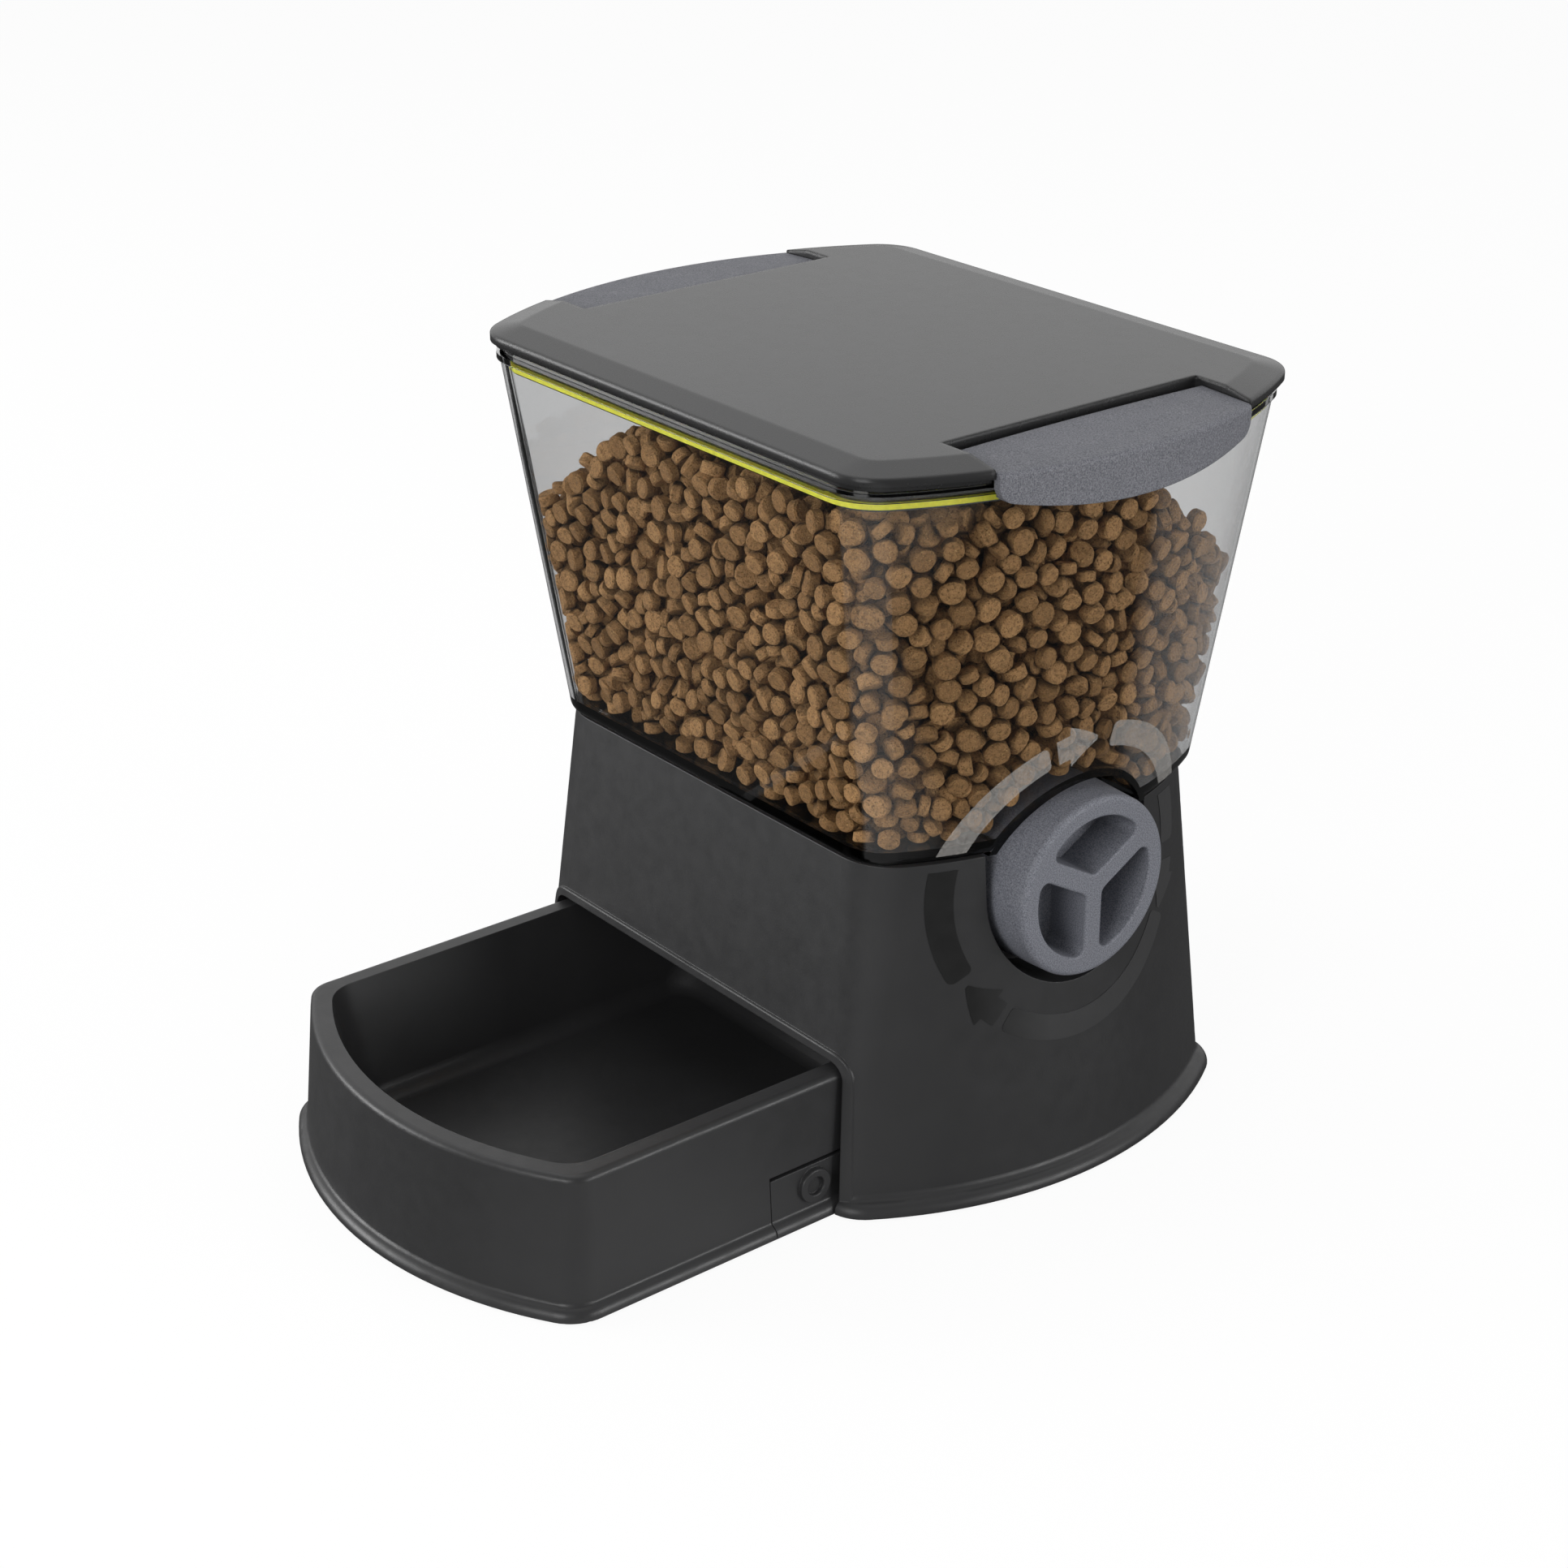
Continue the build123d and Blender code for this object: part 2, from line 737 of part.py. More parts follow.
# Shaft, portion wheel, click wheel, clip and knob, which turn together
with BuildPart() as wheel_shaft:
    with BuildSketch(shaft_plane(shaft_left)):
        Circle(shaft_radius)
    extrude(amount=shaft_right - shaft_left)
wheel_shaft.part.label = "wheel_shaft"
export_step(wheel_shaft.part, "parts/wheel_shaft.step")

wheel_half_length = housing_half_length - housing_wall - wheel_end_gap
with BuildPart() as portion_wheel:
    with BuildSketch(shaft_plane(-wheel_half_length)):
        Circle(wheel_hub)
        with PolarLocations(0, wheel_vanes):
            Rectangle(wheel_radius, wheel_vane, align=(Align.MIN, Align.CENTER))
        Circle(shaft_radius + seat, mode=Mode.SUBTRACT)
    extrude(amount=2 * wheel_half_length)
portion_wheel.part.label = "portion_wheel"
export_step(portion_wheel.part, "parts/portion_wheel.step")

with BuildPart() as click_wheel:
    with BuildSketch(shaft_plane(click_x - click_width / 2)):
        Circle(click_radius)
        with PolarLocations(click_radius + click_notch - click_notch_depth, wheel_vanes, start_angle=-90):
            Circle(click_notch, mode=Mode.SUBTRACT)
        Circle(shaft_radius + seat, mode=Mode.SUBTRACT)
    extrude(amount=click_width)
click_wheel.part.label = "click_wheel"
export_step(click_wheel.part, "parts/click_wheel.step")

with BuildPart() as shaft_clip:
    with BuildSketch(shaft_plane(shaft_left + shaft_tail)):
        Circle(clip_radius)
        Circle(shaft_radius + seat, mode=Mode.SUBTRACT)
    extrude(amount=clip_width)
shaft_clip.part.label = "shaft_clip"
export_step(shaft_clip.part, "parts/shaft_clip.step")

with BuildPart() as knob:
    loft([round_profile(knob_back, knob_back_radius), round_profile(knob_front, knob_front_radius)])
    fillet(knob.faces().sort_by(Axis.X)[-1].edges(), knob_round)
    with BuildSketch(shaft_plane(knob_front)) as pockets:
        Circle(knob_pocket_radius)
        with PolarLocations(0, knob_spokes, start_angle=-90):
            Rectangle(knob_pocket_radius, knob_spoke, align=(Align.MIN, Align.CENTER), mode=Mode.SUBTRACT)
        fillet(pockets.vertices(), knob_pocket_corner)
    extrude(amount=-knob_pocket_depth, mode=Mode.SUBTRACT)
    pocket_wires = knob.faces().filter_by(Plane.YZ).sort_by(Axis.X)[-1].inner_wires()
    fillet([edge for wire in pocket_wires for edge in wire.edges()], knob_pocket_round)
    with BuildSketch(shaft_plane(knob_back)):
        Circle(shaft_radius + seat)
    extrude(amount=knob_socket, mode=Mode.SUBTRACT)
knob.part.label = "knob"
export_step(knob.part, "parts/knob.step")

# Click spring: a leaf on a post, with a bump under the click wheel
with BuildPart() as click_spring:
    with BuildSketch(Plane.XY.offset(strip_top - spring_strip)):
        with Locations((click_x, tower_y - spring_length)):
            Rectangle(click_width, spring_length + spring_tip, align=(Align.CENTER, Align.MIN))
        with Locations((click_x, tower_y - spring_length + post_length / 2)):
            Circle(screw_radius + seat, mode=Mode.SUBTRACT)
    extrude(amount=spring_strip)
    with BuildSketch(facing_right(click_x - click_width / 2, tower_y, strip_top)):
        Circle(spring_bump)
        Rectangle(2 * spring_bump, spring_bump, align=(Align.CENTER, Align.MAX), mode=Mode.SUBTRACT)
    extrude(amount=click_width)
click_spring.part.label = "click_spring"
export_step(click_spring.part, "parts/click_spring.step")

with BuildPart() as spring_screw:
    add(screw_group([(click_x, tower_y - spring_length + post_length / 2)], strip_top, -1))
spring_screw.part.label = "spring_screw"
export_step(spring_screw.part, "parts/spring_screw.step")

# Hopper
arch_radius = notch_radius + arch_gap
floor_edge = tower_top + hopper_floor
floor_wall = floor_edge + hopper_fall

with BuildPart() as arch_niche:
    extrude(
        round_profile(cup_back - hopper_wall + arch_gap, arch_radius + hopper_wall),
        amount=hopper_top_half_width,
    )
    loft([hopper_section(tower_top, 0), hopper_section(hopper_top, 0)], ruled=True, mode=Mode.INTERSECT)

with BuildPart() as spigot:
    extrude(tower_section(tower_top, tower_wall + spigot_gap), amount=-spigot_depth)
    extrude(
        tower_section(tower_top, tower_wall + spigot_gap + spigot_wall),
        amount=-spigot_depth,
        mode=Mode.SUBTRACT,
    )
    with BuildSketch(Plane.XY.offset(tower_top)):
        with Locations((cup_back - spigot_gap, tower_y)):
            Rectangle(
                hopper_top_half_width,
                2 * (notch_radius + cup_wall + spigot_gap),
                align=(Align.MIN, Align.CENTER),
            )
    extrude(amount=-spigot_depth, mode=Mode.SUBTRACT)

with BuildPart() as hopper:
    loft([hopper_section(tower_top, 0), hopper_section(hopper_top, 0)], ruled=True)
    fillet(hopper.faces().sort_by(Axis.Z)[0].edges(), hopper_foot_round)
    extrude(hopper_section(hopper_top, -rim_flange_reach), amount=-rim_flange_height)
    loft(
        [hopper_section(floor_wall, hopper_wall), hopper_section(hopper_top + overrun, hopper_wall)],
        ruled=True,
        mode=Mode.SUBTRACT,
    )
    with BuildSketch(Plane.XY.offset(floor_edge)) as funnel_mouth:
        with Locations((0, tower_y)):
            RectangleRounded(2 * outlet_half_width, 2 * outlet_half_depth, outlet_corner)
    loft([funnel_mouth.sketch, hopper_section(floor_wall, hopper_wall)], ruled=True, mode=Mode.SUBTRACT)
    extrude(funnel_mouth.sketch, amount=-(hopper_floor + overrun), mode=Mode.SUBTRACT)
    add(arch_niche.part)
    extrude(
        round_profile(cup_back + arch_gap, arch_radius),
        amount=hopper_top_half_width,
        mode=Mode.SUBTRACT,
    )
    add(spigot.part)
hopper.part.label = "hopper"
export_step(hopper.part, "parts/hopper.step")

# Lid cover
lid_shoulder = lid_top - lid_border_drop

with BuildPart() as lid_hollow:
    extrude(lid_section(lid_under, lid_edge), amount=lid_shoulder - lid_skin - lid_under)
    loft(
        [lid_section(lid_shoulder - lid_skin, lid_edge), lid_section(lid_top - lid_skin, lid_border)],
        ruled=True,
    )
    for side in (-1, 1):
        with BuildSketch(Plane.XY.offset(lid_under)):
            with Locations((side * (slot_inner - slot_wall), lid_y)):
                Rectangle(
                    lid_half_width,
                    2 * (slot_half_length + cheek_width),
                    align=(Align.MIN if side > 0 else Align.MAX, Align.CENTER),
                )
        extrude(amount=lid_top - lid_under, mode=Mode.SUBTRACT)

with BuildPart() as lid_rebates:
    extrude(lid_section(lid_under, -overrun), amount=lid_rebate_height)
    extrude(lid_section(lid_under, lid_rebate), amount=lid_rebate_height, mode=Mode.SUBTRACT)

with BuildPart() as lid_cover:
    extrude(lid_section(lid_under, 0), amount=lid_shoulder - lid_under)
    loft([lid_section(lid_shoulder, 0), lid_section(lid_top, lid_border)], ruled=True)
    shoulder = lid_cover.edges().filter_by_position(Axis.Z, lid_shoulder - seat, lid_shoulder + seat)
    fillet(shoulder, lid_edge_round)
    add(lid_rebates.part, mode=Mode.SUBTRACT)
    add(lid_hollow.part, mode=Mode.SUBTRACT)
    for side in (-1, 1):
        with BuildSketch(Plane.XY.offset(cheek_under)):
            for end in (-1, 1):
                with Locations((side * hinge_x, lid_y + end * (slot_half_length + cheek_width / 2))):
                    Rectangle(cheek_length, cheek_width)
        extrude(amount=lid_under - cheek_under + lid_skin)
        with BuildSketch(Plane.XY.offset(lid_under - overrun)):
            with Locations((side * slot_inner, lid_y)):
                Rectangle(
                    lid_half_width,
                    2 * slot_half_length,
                    align=(Align.MIN if side > 0 else Align.MAX, Align.CENTER),
                )
        extrude(amount=lid_top - lid_under + overrun, mode=Mode.SUBTRACT)
        with BuildSketch(facing_front(side * hinge_x, lid_y, hinge_height)):
            Circle(pin_radius + seat)
        extrude(amount=slot_half_length + cheek_width - fit, both=True, mode=Mode.SUBTRACT)
    with BuildSketch(Plane.XY.offset(plug_under + plug_floor)):
        with Locations(*lid_screw_places):
            Circle(lid_boss_radius)
    extrude(amount=lid_top - lid_skin / 2 - plug_under - plug_floor)
    with BuildSketch(Plane.XY.offset(plug_under + plug_floor)):
        with Locations(*lid_screw_places):
            Circle(screw_radius + seat)
    extrude(amount=screw_length - plug_floor + fit, mode=Mode.SUBTRACT)
lid_cover.part.label = "lid_cover"
export_step(lid_cover.part, "parts/lid_cover.step")

# Lid plug, seal and screws
seal_under = seal_middle - seal_height / 2
with BuildPart() as seal_ring:
    extrude(plug_section(seal_under, -plug_flange_reach), amount=seal_height)
    extrude(plug_section(seal_under, seal_groove), amount=seal_height, mode=Mode.SUBTRACT)

with BuildPart() as lid_plug:
    extrude(plug_section(plug_under, 0), amount=lid_under - plug_under)
    extrude(plug_section(lid_under, -plug_flange_reach), amount=-plug_flange)
    extrude(
        plug_section(plug_under + plug_floor, plug_wall),
        amount=lid_under - plug_under,
        mode=Mode.SUBTRACT,
    )
    add(seal_ring.part, mode=Mode.SUBTRACT)
    with BuildSketch(Plane.XY.offset(plug_under)):
        with Locations(*lid_screw_places):
            Circle(screw_radius + seat)
    extrude(amount=plug_floor, mode=Mode.SUBTRACT)
lid_plug.part.label = "lid_plug"
export_step(lid_plug.part, "parts/lid_plug.step")

with BuildPart() as lid_seal:
    extrude(plug_section(seal_under, hopper_wall + fit - plug_inset), amount=seal_height)
    extrude(plug_section(seal_under, seal_groove), amount=seal_height, mode=Mode.SUBTRACT)
lid_seal.part.label = "lid_seal"
export_step(lid_seal.part, "parts/lid_seal.step")

with BuildPart() as lid_screws:
    add(screw_group(lid_screw_places, plug_under, 1))
lid_screws.part.label = "lid_screws"
export_step(lid_screws.part, "parts/lid_screws.step")

# Latches: a plate flush with the cover, a hanging flap and a hinge barrel
latch_half_length = slot_half_length - latch_side_gap
hook_top = hopper_top - rim_flange_height - fit
with BuildPart() as latch_right:
    extrude(lid_section(latch_low - latch_proud, -latch_proud), amount=lid_top - latch_low + latch_proud)
    with Locations((0, lid_y, lid_top - latch_crown_radius)):
        Sphere(latch_crown_radius, rotation=(0, 90, 0), mode=Mode.INTERSECT)
    fillet(latch_right.faces().sort_by(Axis.Z)[-1].edges(), latch_edge_round)
    extrude(
        lid_section(latch_low - overrun, latch_flap + latch_hook - latch_proud),
        amount=latch_under - latch_low + overrun,
        mode=Mode.SUBTRACT,
    )
    extrude(
        lid_section(latch_low - overrun, latch_flap - latch_proud),
        amount=hook_top - latch_hook_height - latch_low + overrun,
        mode=Mode.SUBTRACT,
    )
    extrude(
        lid_section(hook_top, latch_flap - latch_proud),
        amount=latch_under - hook_top,
        mode=Mode.SUBTRACT,
    )
    with BuildSketch(facing_right(hinge_x - hinge_barrel, lid_y, 0)) as flap:
        with BuildLine():
            flap_ends = latch_low + latch_low_radius - sqrt(latch_low_radius**2 - latch_half_length**2)
            Polyline(
                (-latch_half_length, flap_ends),
                (-latch_half_length, lid_top),
                (latch_half_length, lid_top),
                (latch_half_length, flap_ends),
            )
            ThreePointArc((-latch_half_length, flap_ends), (0, latch_low), (latch_half_length, flap_ends))
        make_face()
        fillet(flap.vertices().group_by(Axis.Y)[0], latch_corner)
    extrude(amount=lid_half_width, mode=Mode.INTERSECT)
    with BuildSketch(facing_front(hinge_x, lid_y, hinge_height)):
        Circle(hinge_barrel)
    extrude(amount=latch_half_length, both=True)
    with BuildSketch(facing_front(hinge_x, lid_y, hinge_height)):
        Circle(pin_radius + running)
    extrude(amount=latch_half_length, both=True, mode=Mode.SUBTRACT)
latch_right.part.label = "latch_right"
export_step(latch_right.part, "parts/latch_right.step")

with BuildPart() as latch_left:
    mirror(latch_right.part, about=Plane.YZ)
latch_left.part.label = "latch_left"
export_step(latch_left.part, "parts/latch_left.step")

with BuildPart() as latch_pins:
    for side in (-1, 1):
        with BuildSketch(facing_front(side * hinge_x, lid_y, hinge_height)):
            Circle(pin_radius)
        extrude(amount=slot_half_length + cheek_width - 2 * fit, both=True)
latch_pins.part.label = "latch_pins"
export_step(latch_pins.part, "parts/latch_pins.step")

# Bowl with its snap tongues and pads
with BuildPart() as bowl_outer:
    extrude(
        tray_outline(
            bowl_gap,
            bowl_foot_half_width + bowl_bead,
            bowl_front,
            bowl_foot_radius + bowl_bead_front,
            bowl_foot_corner + bowl_bead,
            bowl_rear - bowl_bead,
            bowl_rear_corner,
        ),
        amount=bowl_bead_height,
    )
    fillet(bowl_outer.faces().sort_by(Axis.Z)[-1].edges(), bowl_bead_round)
    fillet(bowl_outer.faces().sort_by(Axis.Z)[0].edges(), bowl_bead_under_round)
    loft([bowl_section(bowl_gap, 0), bowl_section(bowl_rim, 0)], ruled=True)
    bead_top = bowl_gap + bowl_bead_height
    bead_middle = bead_top - bowl_bead_height / 2
    cove_edges = bowl_outer.edges().filter_by_position(Axis.Z, bead_middle, bead_top + seat)
    fillet(cove_edges.filter_by(GeomType.BSPLINE), bowl_bead_cove)

with BuildPart() as dish:
    loft([dish_section(dish_floor, 0), dish_section(bowl_rim + overrun, 0)], ruled=True)
    fillet(dish.faces().sort_by(Axis.Z)[0].edges(), dish_round)

with BuildPart() as bowl_void:
    loft(
        [bowl_section(bowl_gap - overrun, bowl_skirt), bowl_section(bowl_rim - void_depth, bowl_skirt)],
        ruled=True,
    )

with BuildPart() as dish_shell:
    loft([dish_section(dish_floor - dish_wall, dish_wall), dish_section(bowl_rim, dish_wall)], ruled=True)

tongue_middle = tower_front - tongue_reach + tongue_length / 2
tongue_x = bowl_foot_half_width - bowl_skirt / 2

with BuildPart() as bowl:
    add(bowl_outer.part)
    fillet(bowl.faces().sort_by(Axis.Z)[-1].edges(), bowl_rim_round)
    add(bowl_void.part, mode=Mode.SUBTRACT)
    add(dish_shell.part)
    add(dish.part, mode=Mode.SUBTRACT)
    for side in (-1, 1):
        with BuildSketch(Plane.XY.offset(bowl_gap - overrun)):
            with Locations((side * tongue_x, tongue_middle)):
                Rectangle(2 * tongue_room, tongue_length + 2 * tongue_gap)
        extrude(amount=tongue_top + slit_height - bowl_gap + overrun, mode=Mode.SUBTRACT)
bowl.part.label = "bowl"
export_step(bowl.part, "parts/bowl.step")

with BuildPart() as push_ring:
    with BuildSketch(facing_right(tongue_x, tower_front - ring_reach, ring_height)):
        Circle(ring_outer)
        Circle(ring_inner, mode=Mode.SUBTRACT)
    extrude(amount=bowl_skirt / 2 + ring_proud)
    fillet(push_ring.faces().sort_by(Axis.X)[-1].edges(), ring_round)

with BuildPart() as bowl_snap_right:
    add(bowl_outer.part)
    add(bowl_void.part, mode=Mode.SUBTRACT)
    with BuildSketch(Plane.XY.offset(bowl_gap - overrun)):
        with Locations((tongue_x, tongue_middle)):
            Rectangle(2 * tongue_room, tongue_length)
    extrude(amount=tongue_top - bowl_gap + overrun, mode=Mode.INTERSECT)
    add(push_ring.part)
bowl_snap_right.part.label = "bowl_snap_right"
export_step(bowl_snap_right.part, "parts/bowl_snap_right.step")

with BuildPart() as bowl_snap_left:
    mirror(bowl_snap_right.part, about=Plane.YZ)
bowl_snap_left.part.label = "bowl_snap_left"
export_step(bowl_snap_left.part, "parts/bowl_snap_left.step")

with BuildPart() as bowl_pads:
    with BuildSketch():
        for side in (-1, 1):
            with Locations((side * bowl_pad_x, bowl_front + bowl_pad_setback)):
                Circle(bowl_pad_radius)
    extrude(amount=dish_floor - dish_wall)
bowl_pads.part.label = "bowl_pads"
export_step(bowl_pads.part, "parts/bowl_pads.step")
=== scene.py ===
"""Dresses a pet food dispenser: moulded finishes, a clear tub of dry food, hardware and a stage."""

import math

import bmesh
import bpy
import numpy as np
from bpy.props import FloatProperty, FloatVectorProperty, IntProperty, PointerProperty
from bpy.types import Operator, Panel, PropertyGroup
from mathutils import Matrix, Vector
from mathutils.bvhtree import BVHTree


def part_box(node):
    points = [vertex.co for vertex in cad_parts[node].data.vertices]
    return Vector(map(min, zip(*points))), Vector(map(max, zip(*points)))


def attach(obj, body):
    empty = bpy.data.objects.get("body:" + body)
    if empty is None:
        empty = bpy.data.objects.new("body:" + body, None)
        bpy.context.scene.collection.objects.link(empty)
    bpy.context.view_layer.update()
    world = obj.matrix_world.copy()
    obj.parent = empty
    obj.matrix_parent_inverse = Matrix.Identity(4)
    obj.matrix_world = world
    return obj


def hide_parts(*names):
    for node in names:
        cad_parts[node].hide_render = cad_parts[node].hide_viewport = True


bl_info = {
    "name": "Pet Food Dispenser",
    "version": (1, 0, 0),
    "blender": (4, 5, 0),
    "location": "View3D > Sidebar > Dispenser",
    "description": "Finishes, food, hardware and stage for a pet food dispenser with a turning knob",
    "category": "Object",
}

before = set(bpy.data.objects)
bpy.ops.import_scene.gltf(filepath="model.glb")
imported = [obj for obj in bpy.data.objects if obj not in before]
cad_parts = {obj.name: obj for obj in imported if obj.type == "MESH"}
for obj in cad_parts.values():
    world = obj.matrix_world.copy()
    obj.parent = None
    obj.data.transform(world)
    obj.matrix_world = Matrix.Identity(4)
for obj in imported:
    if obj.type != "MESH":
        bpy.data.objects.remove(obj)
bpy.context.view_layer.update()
MM = 0.001
tub_low, tub_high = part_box("hopper")
tub_middle = (tub_low + tub_high) / 2
knob_low, knob_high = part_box("knob")
lid_screws_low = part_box("lid_screws")[0]
wheel_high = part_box("portion_wheel")[1]


def size(name, text, millimetres):
    """A length that a user would change, shown in the scene's unit."""
    return FloatProperty(name=name, description=text, default=millimetres * MM, unit="LENGTH", precision=5)


def tint(name, text, colour):
    """A surface colour that a user would change."""
    return FloatVectorProperty(name=name, description=text, default=colour, subtype="COLOR", size=3,
                               min=0, max=1)


def number(name, text, value, kind="NONE"):
    """A plain number or an angle that a user would change."""
    return FloatProperty(name=name, description=text, default=value, subtype=kind)


class FinishValues(PropertyGroup):
    casing: tint("Casing", "Satin charcoal of the tower", (0.033, 0.033, 0.034))
    tray: tint("Bowl", "Satin charcoal of the bowl", (0.032, 0.032, 0.033))
    cover: tint("Lid", "Half gloss dark grey of the lid cover", (0.028, 0.028, 0.0285))
    plug: tint("Plug", "Gloss black of the lid plug", (0.006, 0.006, 0.0065))
    grip: tint("Grips", "Matt blue grey of the knob", (0.165, 0.174, 0.214))
    latch: tint("Latches", "Matt blue grey of the latches", (0.135, 0.139, 0.168))
    clear: tint("Tub", "Grey that the clear tub takes on with depth", (0.10, 0.11, 0.12))
    seal: tint("Seal", "Yellow of the soft lid seal", (0.80, 0.78, 0.045))
    works: tint("Works", "Dark grey of the wheel, its housing and the chute", (0.030, 0.030, 0.032))
    bush: tint("Bushes", "Pale slippery plastic of the bushes and the click wheel", (0.62, 0.60, 0.55))
    rubber: tint("Rubber", "Black of the feet and the pads", (0.014, 0.014, 0.014))
    steel: tint("Steel", "Bright steel of the screws, the shaft, the clip and the spring", (0.56, 0.57, 0.58))


class FoodValues(PropertyGroup):
    radius: size("Radius", "Radius of one piece of food", 4.05)
    half_height: size("Half height", "Half the thickness of one piece of food", 2.1)
    spread: number("Spread", "How much the pieces differ in size", 0.12)
    gap: size("Gap", "Least space between a piece of food and a wall", 0.25)
    peak: size("Peak", "Height of the top of the heap", lid_screws_low.z / MM - 1.5)
    shoulder_left: size("Left shoulder", "Place across the tub where the heap starts to fall", -30)
    shoulder_rear: size("Rear shoulder", "Place along the tub where the heap starts to fall",
                        tub_middle.y / MM + 14.8)
    fall_left: number("Left fall", "Slope of the heap to the left", 0.72)
    fall_rear: number("Rear fall", "Slope of the heap to the rear", 0.80)
    seed: IntProperty(name="Seed", description="Start of the random order", default=11)
    light: tint("Light crust", "Colour of a well baked piece", (0.620, 0.350, 0.146))
    dark: tint("Dark crust", "Colour of a dull piece", (0.370, 0.200, 0.078))


class MarkValues(PropertyGroup):
    inner: size("Inner radius", "Inner radius of the turn mark", 48)
    outer: size("Outer radius", "Outer radius of the turn mark", 57.2)
    barbs: size("Barbs", "Width of an arrow head", 15.4)
    point: size("Point", "Length of an arrow head", 11.5)
    stub: size("Stub", "Length of the shaft that an arrow head sits on", 5)
    thickness: size("Thickness", "Thickness of the turn mark", 0.16)
    # The run from the ink to the pale ink on the tower is painted sheen.
    ink: tint("Ink", "Dark end of the mark on the tower", (0.014, 0.014, 0.014))
    pale: tint("Pale ink", "Pale end of the mark on the tower", (0.052, 0.052, 0.053))
    frost: tint("Frost", "Pale frosting of the mark on the tub", (0.62, 0.60, 0.57))


class HardwareValues(PropertyGroup):
    recess: size("Recess", "Width of the cross in a screw head", 0.75)
    recess_reach: size("Recess reach", "Length of each bar of the cross", 3.6)
    recess_depth: size("Recess depth", "Depth of the cross", 1.1)
    head_round: size("Head round", "Round of a screw head", 0.8)
    foot_round: size("Foot round", "Round at the bottom of a foot", 0.7)
    foot_rim: size("Foot rim", "Width of the ring that a foot stands on", 2.2)
    foot_hollow: size("Foot hollow", "Depth of the hollow inside that ring", 0.7)


class StageValues(PropertyGroup):
    azimuth: number("Azimuth", "Camera's turn", math.radians(51.311), "ANGLE")
    elevation: number("Elevation", "Camera's rise", math.radians(24.949), "ANGLE")
    lens: number("Lens", "Focal length in millimetres", 68.69)
    distance: size("Distance", "Camera's distance from the aim", 1073.1)
    aim: FloatVectorProperty(name="Aim", description="Point that the camera is set about",
                             default=(0, tub_middle.y, 0.130), subtype="TRANSLATION")
    slide: size("Slide", "Camera's shift to its right", -32.354)
    raise_by: size("Raise", "Camera's shift upwards", -23.251)
    floor: tint("Floor", "White of the floor", (0.93, 0.93, 0.93))
    bounce: tint("Bounce", "Tone of the floor for the light that it throws back", (0.42, 0.42, 0.42))
    white: number("White", "Share of the floor that is plain white", 0.90)
    mirrored: number("Mirrored", "Strength of the floor in mirrors", 0.08)
    # The floor towards the camera glows in mirrors as a painted reflection.
    painted_reflection_strip: number("Card", "Strength in mirrors of the floor towards the camera", 0.45)
    # The floor's dark zones through the tub are painted shade.
    flags: number("Flags", "Strength of the floor's dark zones through the tub", 0.005)
    ambient: number("Ambient", "Strength of the light from all round", 0.36)
    room_front: number("Room in front", "Strength of the room in mirrors, in front", 0.10)
    room_rear: number("Room behind", "Strength of the room in mirrors, behind", 0.90)
    room_through: number("Room through", "Strength of the room through the tub", 0.6)


def values():
    """All values of the dispenser in the open scene."""
    return bpy.context.scene.dispenser


# Materials

